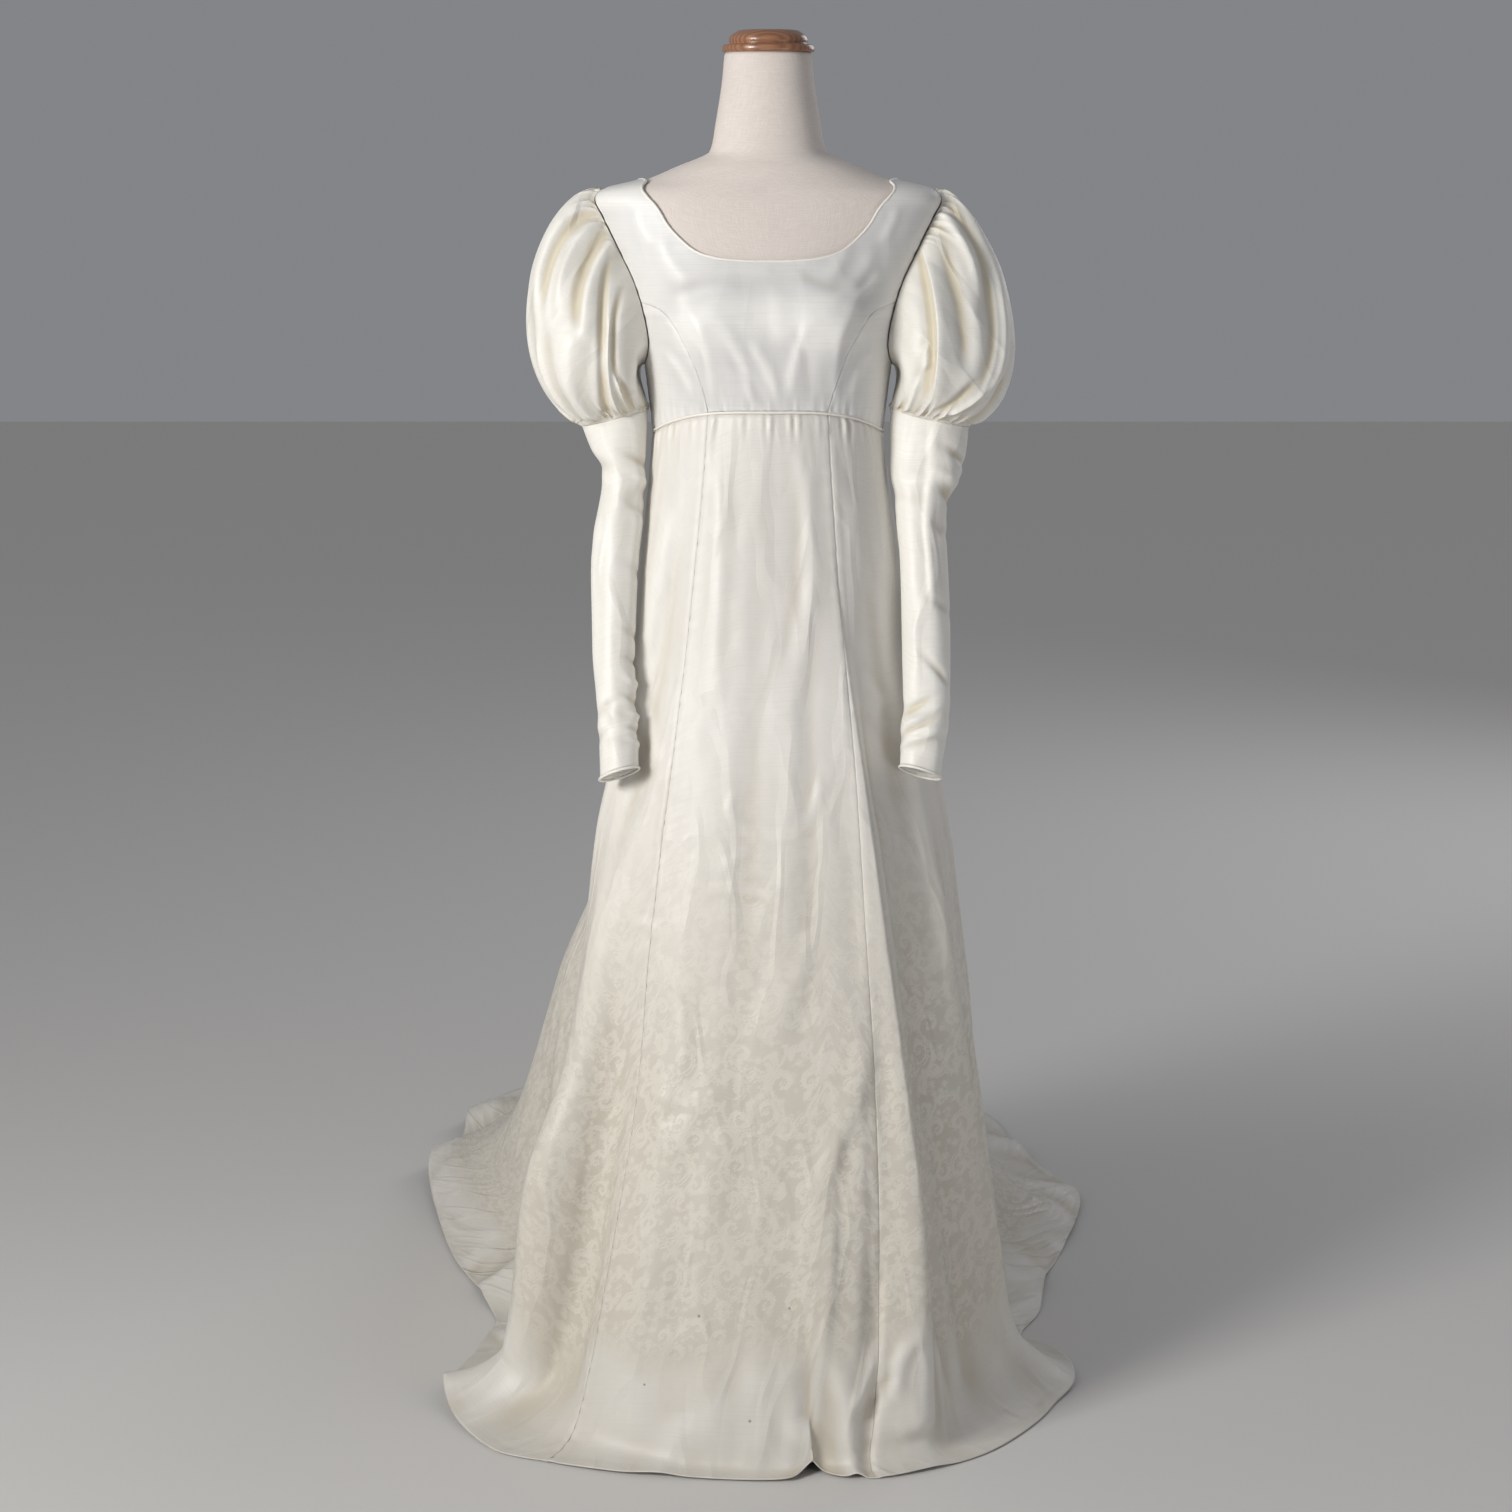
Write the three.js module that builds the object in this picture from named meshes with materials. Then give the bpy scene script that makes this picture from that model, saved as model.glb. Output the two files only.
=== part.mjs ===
// A long wedding dress with gathered leg-of-mutton sleeves, an empire seam and a chapel train, standing on a
// limbless dress form. Millimetres, +Z up, +X to the viewer's right, -Y to the front. The origin is on the
// floor, on the axis of the form's pole.
import * as THREE from "three";

// ---------- Driving dimensions ----------
const WALL = 1.4; // satin of the dress, with what a maker fuses to it
const SKIRT_WALL = 1.8;
const SEAM = 0.4; // gap left between two pieces at a seam
const SKIRT_SEAM = 0.6;
const EASE = 1.6; // inside of the bodice to the form
const PIPING = 1.6; // radius of the piping
const FORM_BOTTOM = 800;
const NECK_TOP = 1592;
const CAP_HEIGHT = 25;
const CAP_RADIUS = 53;
const POLE_RADIUS = 15;
const BASE_RADIUS = 165;
const BASE_HEIGHT = 22;
const EMPIRE_FRONT = 1191; // height of the empire seam at the centre front
const EMPIRE_SIDE = 1161;
const SIDE_SEAM = 92; // degrees round from the centre front
const CENTRE_BACK = 180;
const SHOULDER = 90;
const SHOULDER_GAP = 0.07; // degrees that each strap stops short of the shoulder seam
const TOUCH = 0.3; // gap between solids that rest on each other

const DEG = Math.PI / 180;
const clamp = (t, low, high) => Math.min(high, Math.max(low, t));
const mix = (a, b, t) => a + (b - a) * t;
const smooth = (t) => clamp(t, 0, 1) ** 2 * (3 - 2 * clamp(t, 0, 1));
const bell = (t) => Math.exp(-t * t);
const softPlus = (t) => (t > 30 ? t : Math.log1p(Math.exp(t)));

// A smooth reading of one column of a table: cubic between rows, with no overshoot.
function column(rows, key, value) {
  const x = rows.map((row) => row[key]);
  const y = rows.map((row) => row[value]);
  const rise = y.slice(1).map((_, i) => (y[i + 1] - y[i]) / (x[i + 1] - x[i]));
  const slope = y.map((_, i) => {
    if (i === 0) return rise[0];
    if (i === y.length - 1) return rise[i - 1];
    if (rise[i - 1] * rise[i] <= 0) return 0;
    return (2 * rise[i - 1] * rise[i]) / (rise[i - 1] + rise[i]);
  });
  return (at) => {
    const t = clamp(at, x[0], x[x.length - 1]);
    let i = x.length - 2;
    while (i > 0 && t < x[i]) i -= 1;
    const span = x[i + 1] - x[i];
    const s = (t - x[i]) / span;
    const bend = slope[i] * span * s * (1 - s) ** 2 - slope[i + 1] * span * s * s * (1 - s);
    return y[i] + (y[i + 1] - y[i]) * s * s * (3 - 2 * s) + bend;
  };
}

// ---------- The figure: sections of the form from its bottom to the top of its neck ----------
const FIGURE = [
  { z: 800, half: 146, front: 112, back: 116 },
  { z: 860, half: 153, front: 120, back: 124 },
  { z: 920, half: 152, front: 121, back: 122 },
  { z: 980, half: 143, front: 114, back: 106 },
  { z: 1040, half: 130, front: 104, back: 90 },
  { z: 1095, half: 123, front: 99, back: 82 },
  { z: 1161, half: 131, front: 106, back: 87 },
  { z: 1191, half: 135, front: 110, back: 91 },
  { z: 1240, half: 141, front: 119, back: 98 },
  { z: 1290, half: 150, front: 122, back: 104 },
  { z: 1340, half: 164, front: 106, back: 106 },
  { z: 1380, half: 179, front: 91, back: 101 },
  { z: 1410, half: 191, front: 81, back: 92 },
  { z: 1427, half: 197, front: 75, back: 85 },
  { z: 1434, half: 192, front: 72, back: 81 },
  { z: 1440, half: 176, front: 70, back: 78 },
  { z: 1446, half: 151, front: 68, back: 75 },
  { z: 1455, half: 127, front: 65, back: 71 },
  { z: 1465, half: 104, front: 62, back: 66 },
  { z: 1473, half: 83, front: 59, back: 62 },
  { z: 1481, half: 68, front: 57, back: 60 },
  { z: 1516, half: 61, front: 55, back: 57 },
  { z: 1560, half: 54, front: 52, back: 53 },
  { z: NECK_TOP, half: 51, front: 50, back: 50 },
];
const SECTION_POWER = 2.15; // 2 is an ellipse, more is squarer
const BUST = { angle: 33, width: 17, z: 1287, height: 46, rise: 15 };
const figureHalf = column(FIGURE, "z", "half");
const figureFront = column(FIGURE, "z", "front");
const figureBack = column(FIGURE, "z", "back");

// Distance of the form's surface from its axis. Angles run from the centre front towards +X.
function figureRadius(degrees, z) {
  const angle = degrees * DEG;
  const depth = Math.cos(angle) > 0 ? figureFront(z) : figureBack(z);
  const across = Math.abs(Math.sin(angle)) / figureHalf(z);
  const along = Math.abs(Math.cos(angle)) / depth;
  const oval = (across ** SECTION_POWER + along ** SECTION_POWER) ** (-1 / SECTION_POWER);
  const turned = Math.abs(((degrees + 540) % 360) - 180);
  const cup = bell((turned - BUST.angle) / BUST.width) * bell((z - BUST.z) / BUST.height);
  return oval + BUST.rise * cup;
}

function polar(degrees, radius, z) {
  const angle = degrees * DEG;
  return new THREE.Vector3(radius * Math.sin(angle), -radius * Math.cos(angle), z);
}

const onFigure = (degrees, z) => polar(degrees, figureRadius(degrees, z), z);

// Moves a point of a surface out along the surface's normal. "side" is 1 or -1 for which face is out.
function lifted(surface, stepS, stepT, side) {
  return (s, t, lift) => {
    const point = surface(s, t);
    const across = surface(s + stepS, t).sub(surface(s - stepS, t));
    const down = surface(s, t + stepT).sub(surface(s, t - stepT));
    const normal = across.cross(down).normalize();
    return point.addScaledVector(normal, side * lift);
  };
}

const draped = lifted(onFigure, 0.4, 0.6, 1);

// ---------- Closed walls and solids from grids of points ----------
function solid(points, faces) {
  const volume = faces.reduce((sum, [a, b, c]) => {
    const cross = new THREE.Vector3().crossVectors(points[b], points[c]);
    return sum + points[a].dot(cross);
  }, 0);
  const facing = volume < 0 ? faces.map(([a, b, c]) => [a, c, b]) : faces;
  const geometry = new THREE.BufferGeometry().setFromPoints(points);
  geometry.setIndex(facing.flat());
  geometry.computeVertexNormals();
  return geometry;
}

// A wall of cloth over a grid of u (0 to 1 across) and v (0 to 1 along): "face" gives a point and its lift.
function wall(face, columns, rows, thickness, closed = false) {
  const us = Array.isArray(columns) ? columns : Array.from({ length: columns + 1 }, (_, i) => i / columns);
  const vs = Array.isArray(rows) ? rows : Array.from({ length: rows + 1 }, (_, i) => i / rows);
  const across = closed ? us.length - 1 : us.length;
  const points = [];
  for (const lift of [0, thickness]) {
    for (const v of vs) {
      for (let i = 0; i < across; i += 1) points.push(face(us[i], v, lift));
    }
  }
  const layer = across * vs.length;
  const at = (i, j, side) => side * layer + j * across + (i % across);
  const faces = [];
  const quad = (a, b, c, d) => faces.push([a, b, c], [a, c, d]);
  const last = vs.length - 1;
  for (let i = 0; i < us.length - 1; i += 1) {
    for (let j = 0; j < last; j += 1) {
      quad(at(i, j, 1), at(i + 1, j, 1), at(i + 1, j + 1, 1), at(i, j + 1, 1));
      quad(at(i, j, 0), at(i, j + 1, 0), at(i + 1, j + 1, 0), at(i + 1, j, 0));
    }
    quad(at(i, 0, 0), at(i + 1, 0, 0), at(i + 1, 0, 1), at(i, 0, 1));
    quad(at(i, last, 1), at(i + 1, last, 1), at(i + 1, last, 0), at(i, last, 0));
  }
  if (!closed) {
    const end = us.length - 1;
    for (let j = 0; j < last; j += 1) {
      quad(at(0, j, 1), at(0, j + 1, 1), at(0, j + 1, 0), at(0, j, 0));
      quad(at(end, j, 0), at(end, j + 1, 0), at(end, j + 1, 1), at(end, j, 1));
    }
  }
  return solid(points, faces);
}

// A round piping along a curve through points, an open tube with flat ends.
function piping(points, steps) {
  const curve = new THREE.CatmullRomCurve3(points, false, "centripetal");
  const section = new THREE.Shape();
  const sides = 6;
  for (let i = 0; i < sides; i += 1) {
    const angle = (i / sides) * 2 * Math.PI;
    const x = PIPING * Math.cos(angle);
    const y = PIPING * Math.sin(angle);
    if (i === 0) section.moveTo(x, y);
    else section.lineTo(x, y);
  }
  section.closePath();
  const tube = new THREE.ExtrudeGeometry(section, { steps, extrudePath: curve, curveSegments: 1 });
  tube.deleteAttribute("normal");
  tube.deleteAttribute("uv");
  return tube;
}

// A curve through rows of degrees and height, walked by its own length on the form.
const ROUND = 2.3; // millimetres on the form for each degree
function seamCurve(rows) {
  const curve = new THREE.SplineCurve(rows.map((row) => new THREE.Vector2(row.turn * ROUND, row.z)));
  return (share) => {
    const point = curve.getPointAt(clamp(share, 0, 1));
    return { turn: point.x / ROUND, z: point.y };
  };
}

// ---------- Seams of the bodice, on the right half: degrees from the centre front, height ----------
const BODICE_EDGE = PIPING + SEAM; // the bodice stops this far above the empire seam line,
const SKIRT_EDGE = BODICE_EDGE + 0.6; // and the skirt this far below it
const empireHeight = (turn) => mix(EMPIRE_SIDE, EMPIRE_FRONT, smooth(Math.cos(turn * DEG)));
const NECKLINE_FRONT = [
  { turn: 90, z: 1447 },
  { turn: 77, z: 1441 },
  { turn: 66, z: 1421 },
  { turn: 57, z: 1393 },
  { turn: 45, z: 1371 },
  { turn: 32, z: 1362 },
  { turn: 16, z: 1359 },
  { turn: 0, z: 1358.5 },
];
const NECKLINE_BACK = [
  { turn: 90, z: 1447 },
  { turn: 106, z: 1443 },
  { turn: 122, z: 1431 },
  { turn: 142, z: 1417 },
  { turn: 162, z: 1411 },
  { turn: 180, z: 1410 },
];
const ARMHOLE_FRONT = [
  { turn: 90, z: 1434.5 },
  { turn: 86, z: 1417 },
  { turn: 83, z: 1393 },
  { turn: 79, z: 1363 },
  { turn: 74, z: 1335 },
  { turn: 70.5, z: 1312 },
];
const ARMHOLE_UNDER_FRONT = [
  { turn: 70.5, z: 1312 },
  { turn: 68.5, z: 1286 },
  { turn: 70, z: 1262 },
  { turn: 78, z: 1245 },
  { turn: SIDE_SEAM, z: 1238 },
];
const ARMHOLE_UNDER_BACK = [
  { turn: SIDE_SEAM, z: 1238 },
  { turn: 106, z: 1246 },
  { turn: 113, z: 1264 },
];
const ARMHOLE_BACK = [
  { turn: 113, z: 1264 },
  { turn: 114, z: 1290 },
  { turn: 111, z: 1318 },
  { turn: 105, z: 1352 },
  { turn: 99, z: 1388 },
  { turn: 94, z: 1418 },
  { turn: 90, z: 1434.5 },
];
const PRINCESS = [
  { turn: 70.5, z: 1312 },
  { turn: 56, z: 1304 },
  { turn: 46, z: 1287 },
  { turn: 40, z: 1263 },
  { turn: 36.5, z: 1228 },
  { turn: 34.5, z: empireHeight(34.5) + BODICE_EDGE },
];
const neckFront = seamCurve(NECKLINE_FRONT);
const neckBack = seamCurve(NECKLINE_BACK);
const armFront = seamCurve(ARMHOLE_FRONT);
const armUnder = seamCurve(ARMHOLE_UNDER_FRONT);
const armUnderBack = seamCurve(ARMHOLE_UNDER_BACK);
const armBack = seamCurve(ARMHOLE_BACK);
const princess = seamCurve(PRINCESS);
const PRINCESS_FOOT = PRINCESS[PRINCESS.length - 1].turn;

const cloth = (color) => new THREE.MeshStandardMaterial({ color, roughness: 0.45, metalness: 0 });
const IVORY = 0xddd9ce;
const IVORY_LIGHT = 0xe4e0d4;
const CREAM = 0xe2dccb;
const PIPING_WHITE = 0xe9e6de;
const group = new THREE.Group();
function add(name, geometry, material) {
  const mesh = new THREE.Mesh(geometry, material);
  mesh.name = name;
  group.add(mesh);
}

// Moves a seam point back into its own panel by half the seam gap, in the surface.
function inset(point, towards, distance) {
  const across = (towards.turn - point.turn) * ROUND;
  const up = towards.z - point.z;
  const length = Math.hypot(across, up);
  const share = distance / length;
  return { turn: mix(point.turn, towards.turn, share), z: mix(point.z, towards.z, share) };
}

// ---------- Bodice ----------
const NECK_INSET = PIPING + 0.2;
const BACK_EDGE = CENTRE_BACK - SEAM / 2 / ROUND;
const empireEdge = (from, to) => (share) => {
  const turn = mix(from, to, share);
  return { turn, z: empireHeight(turn) + BODICE_EDGE };
};
const straight = (a, b) => (share) => ({ turn: mix(a.turn, b.turn, share), z: mix(a.z, b.z, share) });
const sideSeam = straight(
  { turn: SIDE_SEAM, z: empireHeight(SIDE_SEAM) + BODICE_EDGE },
  { turn: SIDE_SEAM, z: ARMHOLE_UNDER_BACK[0].z },
);
const empireBack = empireEdge(SIDE_SEAM, CENTRE_BACK);
const neckEdge = (from, to) => (share, outer) => inset(neckFront(mix(from, to, share)), outer, NECK_INSET);
const neckEdgeBack = (share) => {
  const at = neckBack(share);
  return { turn: Math.min(at.turn, BACK_EDGE), z: at.z - NECK_INSET };
};
const centreBack = (from, to) => (share) => ({ turn: BACK_EDGE, z: mix(from, to, share ** 0.7) });

// The front and the two backs are strips of cloth in columns, each from an inner edge to an outer edge.
// Each span gives its outer edge, its inner edge and how many columns it takes.
const FRONT_SPANS = [
  { outer: armFront, inner: neckEdge(0, 0.47), columns: 7 },
  { outer: princess, inner: neckEdge(0.47, 0.76), columns: 6 },
  { outer: empireEdge(PRINCESS_FOOT, 0), inner: neckEdge(0.76, 1), columns: 4 },
];
const BACK_SPANS = [
  { outer: (share) => armBack(mix(1, 0.14, share)), inner: neckEdgeBack, columns: 8 },
  { outer: (share) => armBack(mix(0.14, 0, share)), inner: centreBack(1408, 1378), columns: 1 },
  { outer: (share) => armUnderBack(1 - share), inner: centreBack(1378, 1268), columns: 4 },
  { outer: (share) => sideSeam(1 - share), inner: centreBack(1268, 1242), columns: 2 },
  { outer: (share) => empireBack(share ** 1.5), inner: centreBack(1242, 1212), columns: 7 },
];

function strapColumns(spans) {
  const columns = [];
  for (const span of spans) {
    for (let i = columns.length === 0 ? 0 : 1; i <= span.columns; i += 1) {
      const share = i / span.columns;
      const edge = span.outer(share);
      const inner = span.inner(share, edge);
      columns.push({ inner, outer: inset(edge, inner, SEAM / 2) });
    }
  }
  // the shoulder seam
  const towards = Math.sign(columns[1].inner.turn - SHOULDER) * SHOULDER_GAP;
  columns[0].inner.turn += towards;
  columns[0].outer.turn += towards;
  return columns;
}

function strapPanel(columns, rows) {
  const count = columns.length - 1;
  const face = (u, v, lift) => {
    const at = columns[Math.round(u * count)];
    return draped(mix(at.inner.turn, at.outer.turn, v), mix(at.inner.z, at.outer.z, v), EASE + lift);
  };
  return wall(face, count, rows, WALL);
}

const mirror = (point, side) => ({ turn: side * point.turn, z: point.z });
const mirrorColumn = (at, side) => ({ inner: mirror(at.inner, side), outer: mirror(at.outer, side) });

function bodiceFront() {
  const half = strapColumns(FRONT_SPANS);
  const other = half.slice(0, -1).reverse();
  return strapPanel(half.concat(other.map((at) => mirrorColumn(at, -1))), 5);
}

function bodiceBack(side) {
  const half = strapColumns(BACK_SPANS);
  half[half.length - 1].outer.turn = BACK_EDGE;
  return strapPanel(half.map((at) => mirrorColumn(at, side)), 10);
}

// A patch between four seams, each a function of its share: bottom and top run across, left and right up.
function patch(bottom, top, left, right) {
  return (u, v) => {
    const b = bottom(u);
    const t = top(u);
    const l = left(v);
    const r = right(v);
    const corners = [bottom(0), bottom(1), top(0), top(1)];
    const blend = (key) =>
      mix(b[key], t[key], v) +
      mix(l[key], r[key], u) -
      mix(mix(corners[0][key], corners[1][key], u), mix(corners[2][key], corners[3][key], u), v);
    return { turn: blend("turn"), z: blend("z") };
  };
}

// Narrows a panel by half a seam gap on each of its four edges.
function bodicePatch(side, shape, columns, rows) {
  const span = (a, b) => Math.hypot((a.turn - b.turn) * ROUND, a.z - b.z);
  const face = (u, v, lift) => {
    const cutU = SEAM / 2 / Math.max(1, span(shape(0, v), shape(1, v)));
    const cutV = SEAM / 2 / Math.max(1, span(shape(u, 0), shape(u, 1)));
    const at = shape(mix(cutU, 1 - cutU, u), mix(cutV, 1 - cutV, v));
    return draped(side * at.turn, at.z, EASE + lift);
  };
  return wall(face, columns, rows, WALL);
}

function bodiceSideFront(side) {
  const left = (share) => princess(1 - share);
  const shape = patch(empireEdge(PRINCESS_FOOT, SIDE_SEAM), armUnder, left, sideSeam);
  return bodicePatch(side, shape, 6, 6);
}

add("bodice_front", bodiceFront(), cloth(IVORY));
for (const [name, side] of [["left", -1], ["right", 1]]) {
  add(`bodice_side_front_${name}`, bodiceSideFront(side), cloth(IVORY));
  add(`bodice_back_${name}`, bodiceBack(side), cloth(IVORY));
}

// The lapped placket over the centre-back opening lies on the two back panels.
const PLACKET_WIDTH = 17;
const placketHalf = PLACKET_WIDTH / 2 / ROUND;
function backPlacket() {
  const low = empireHeight(CENTRE_BACK) + BODICE_EDGE + 0.4;
  const high = NECKLINE_BACK[NECKLINE_BACK.length - 1].z - PIPING * 2 - SEAM - 0.6;
  const face = (u, v, lift) =>
    draped(mix(CENTRE_BACK - placketHalf, CENTRE_BACK + placketHalf, u), mix(low, high, v),
      EASE + WALL + 0.7 + lift);
  return wall(face, 3, 10, 1);
}
add("back_placket", backPlacket(), cloth(IVORY_LIGHT));

// ---------- Skirt: one surface round the axis, cut into panels ----------
// foot is where the hanging cloth would meet the floor, reach is the hem, soft the bend between the two.
const HEM = [
  { turn: -180, foot: 545, reach: 1226, soft: 200 },
  { turn: -163, foot: 545, reach: 1231, soft: 225 },
  { turn: -158, foot: 542, reach: 1165, soft: 240 },
  { turn: -153, foot: 538, reach: 1010, soft: 250 },
  { turn: -147, foot: 545, reach: 890, soft: 225 },
  { turn: -140, foot: 508, reach: 720, soft: 160 },
  { turn: -132, foot: 415, reach: 575, soft: 96 },
  { turn: -122, foot: 322, reach: 440, soft: 52 },
  { turn: -110, foot: 285, reach: 372, soft: 30 },
  { turn: -98, foot: 256, reach: 368, soft: 36 },
  { turn: -86, foot: 256, reach: 385, soft: 52 },
  { turn: -74, foot: 276, reach: 402, soft: 58 },
  { turn: -62, foot: 312, reach: 409, soft: 46 },
  { turn: -52, foot: 326, reach: 409, soft: 32 },
  { turn: -41, foot: 328, reach: 384, soft: 20 },
  { turn: -29, foot: 324, reach: 363, soft: 14 },
  { turn: -17, foot: 320, reach: 347, soft: 10 },
  { turn: -5, foot: 319, reach: 341, soft: 8 },
  { turn: 4, foot: 319, reach: 341, soft: 8 },
  { turn: 9, foot: 307, reach: 321, soft: 8 },
  { turn: 15, foot: 321, reach: 345, soft: 9 },
  { turn: 23, foot: 325, reach: 358, soft: 12 },
  { turn: 32, foot: 326, reach: 362, soft: 16 },
  { turn: 44, foot: 318, reach: 366, soft: 24 },
  { turn: 56, foot: 308, reach: 364, soft: 32 },
  { turn: 70, foot: 300, reach: 366, soft: 42 },
  { turn: 82, foot: 290, reach: 380, soft: 48 },
  { turn: 90, foot: 285, reach: 379, soft: 42 },
  { turn: 99, foot: 282, reach: 366, soft: 30 },
  { turn: 106, foot: 288, reach: 338, soft: 20 },
  { turn: 117, foot: 308, reach: 398, soft: 40 },
  { turn: 128, foot: 350, reach: 470, soft: 62 },
  { turn: 137, foot: 425, reach: 610, soft: 92 },
  { turn: 144, foot: 485, reach: 765, soft: 130 },
  { turn: 150, foot: 520, reach: 845, soft: 165 },
  { turn: 156, foot: 538, reach: 930, soft: 185 },
  { turn: 161, foot: 543, reach: 1070, soft: 195 },
  { turn: 168, foot: 545, reach: 1180, soft: 200 },
  { turn: 180, foot: 545, reach: 1226, soft: 200 },
];
const hemFoot = column(HEM, "turn", "foot");
const hemReach = column(HEM, "turn", "reach");
const hemSoft = column(HEM, "turn", "soft");

// How the hanging cloth has spread by a share of its fall: close over the waist, then out over the hip.
const SPREAD = [
  { fall: 0, front: 0, side: 0, back: 0 },
  { fall: 0.06, front: 0.035, side: 0.06, back: 0.02 },
  { fall: 0.12, front: 0.085, side: 0.135, back: 0.06 },
  { fall: 0.24, front: 0.21, side: 0.295, back: 0.17 },
  { fall: 0.36, front: 0.35, side: 0.46, back: 0.29 },
  { fall: 0.5, front: 0.51, side: 0.6, back: 0.43 },
  { fall: 0.7, front: 0.73, side: 0.78, back: 0.66 },
  { fall: 0.85, front: 0.87, side: 0.9, back: 0.82 },
  { fall: 1, front: 1, side: 1, back: 1 },
];
const spreadFront = column(SPREAD, "fall", "front");
const spreadSide = column(SPREAD, "fall", "side");
const spreadBack = column(SPREAD, "fall", "back");

// Folds of the skirt. top and hem are degrees where the fold runs, from is the fall where it starts, width in
// degrees at the hem, out in millimetres where the cloth hangs, up where it lies on the floor.
const FOLDS = [
  { name: "left side-front ridge", top: -48, hem: -66, from: 0.3, width: 9, out: 20, up: 26 },
  { name: "valley inside the left ridge", top: -44, hem: -50, from: 0.45, width: 6, out: -12, up: 0 },
  { name: "left front lobe", top: -30, hem: -31, from: 0.6, width: 8, out: 7, up: 10 },
  { name: "centre ridge left", top: -14, hem: -13, from: 0.25, width: 6, out: 6, up: 7 },
  { name: "centre ridge", top: -4, hem: -2, from: 0.35, width: 5, out: 6, up: 6 },
  { name: "centre ridge right", top: 16, hem: 15, from: 0.3, width: 6, out: 8, up: 9 },
  { name: "ridge past the right seam", top: 42, hem: 31, from: 0.28, width: 7, out: 20, up: 20 },
  { name: "valley in the right side front", top: 52, hem: 54, from: 0.35, width: 8, out: -17, up: 0 },
  { name: "right side ridge", top: 72, hem: 84, from: 0.4, width: 9, out: 16, up: 26 },
  { name: "valley by the right side seam", top: 100, hem: 106, from: 0.45, width: 6, out: -12, up: 0 },
  { name: "valley by the left side seam", top: -92, hem: -101, from: 0.45, width: 8, out: -8, up: 0 },
  { name: "right train ridge 1", top: 122, hem: 124, from: 0.3, width: 6, out: 14, up: 16 },
  { name: "right train ridge 2", top: 140, hem: 141, from: 0.15, width: 6, out: 26, up: 22 },
  { name: "right train ridge 3", top: 158, hem: 157, from: 0.12, width: 5, out: 24, up: 18 },
  { name: "centre train ridge", top: 177, hem: 172, from: 0.12, width: 5, out: 22, up: 14 },
  { name: "left train ridge 1", top: -120, hem: -126, from: 0.3, width: 6, out: 12, up: 18 },
  { name: "left train ridge 2", top: -138, hem: -140, from: 0.15, width: 6, out: 26, up: 24 },
  { name: "left train ridge 3", top: -157, hem: -154, from: 0.12, width: 5, out: 24, up: 20 },
  { name: "left train ridge 4", top: -172, hem: -168, from: 0.14, width: 5, out: 18, up: 14 },
];

// Where the sleeves rest, the skirt is pressed in a little.
const SLEEVE_DENT = { turn: 52, width: 15, top: 1060, bottom: 700, depth: 9 };

const turnAway = (a, b) => ((a - b + 540) % 360) - 180;

function skirtSurface(turn, fall) {
  const wrapped = turnAway(turn, 0);
  const start = draped(turn, empireHeight(turn), EASE);
  const topRadius = Math.hypot(start.x, start.y);
  const topZ = empireHeight(turn) - SKIRT_EDGE;
  const foot = hemFoot(wrapped);
  const soft = hemSoft(wrapped);
  const trail = hemReach(wrapped) - foot;
  const drop = Math.hypot(topZ, foot - topRadius);
  const run = fall * (drop + trail) - drop;
  const height = (t) => soft * softPlus(-t / soft);
  const length = (t) => soft * softPlus(t / soft);
  const tail = height(trail);
  const z = (topZ * (height(run) - tail)) / (height(-drop) - tail);
  const lying = (trail * (length(run) - length(-drop))) / (length(trail) - length(-drop));
  const share = 1 - z / topZ;
  const sideways = Math.sin(turn * DEG) ** 2;
  const ahead = Math.cos(turn * DEG) > 0 ? spreadFront(share) : spreadBack(share);
  const spread = mix(ahead, spreadSide(share), sideways);
  let radius = mix(topRadius, foot, spread) + lying;
  // outward where the cloth hangs, upward where it lies
  const hanging = smooth(z / (soft + 40));
  let out = 0;
  let up = 0;
  for (const fold of FOLDS) {
    const centre = mix(fold.top, fold.hem, fall);
    const shape = bell(turnAway(turn, centre) / mix(fold.width * 1.25, fold.width, fall));
    const grown = smooth((fall - fold.from) / (0.95 - fold.from));
    out += fold.out * shape * grown;
    up += fold.up * shape * grown;
  }
  const pressed =
    bell((Math.abs(wrapped) - SLEEVE_DENT.turn) / SLEEVE_DENT.width) *
    smooth((SLEEVE_DENT.top - z) / 160) *
    smooth((z - SLEEVE_DENT.bottom) / 90);
  radius += out * hanging - SLEEVE_DENT.depth * pressed;
  const lift = up * (1 - hanging) * smooth((1 - fall) / 0.12 + 0.25);
  return polar(turn, radius, Math.max(0, z + lift));
}
const onSkirt = lifted(skirtSurface, 0.25, 0.002, -1);

// Seams between the skirt panels, in degrees, by share of the fall.
const SKIRT_SEAMS = [
  { fall: 0, left: -34.5, right: 34.5, sideLeft: -SIDE_SEAM, sideRight: SIDE_SEAM },
  { fall: 0.35, left: -36, right: 30, sideLeft: -96, sideRight: 96 },
  { fall: 0.65, left: -37, right: 27, sideLeft: -101, sideRight: 101 },
  { fall: 0.85, left: -38.5, right: 24, sideLeft: -106, sideRight: 106 },
  { fall: 1, left: -40.5, right: 19, sideLeft: -112, sideRight: 112 },
];
const seamAt = {
  left: column(SKIRT_SEAMS, "fall", "left"),
  right: column(SKIRT_SEAMS, "fall", "right"),
  sideLeft: column(SKIRT_SEAMS, "fall", "sideLeft"),
  sideRight: column(SKIRT_SEAMS, "fall", "sideRight"),
  backLeft: () => -CENTRE_BACK,
  backRight: () => CENTRE_BACK,
};
const SKIRT_ROWS = [
  0, 0.06, 0.13, 0.22, 0.32, 0.42, 0.52, 0.61, 0.69, 0.76, 0.82, 0.87, 0.91, 0.945, 0.975, 1,
];
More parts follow.
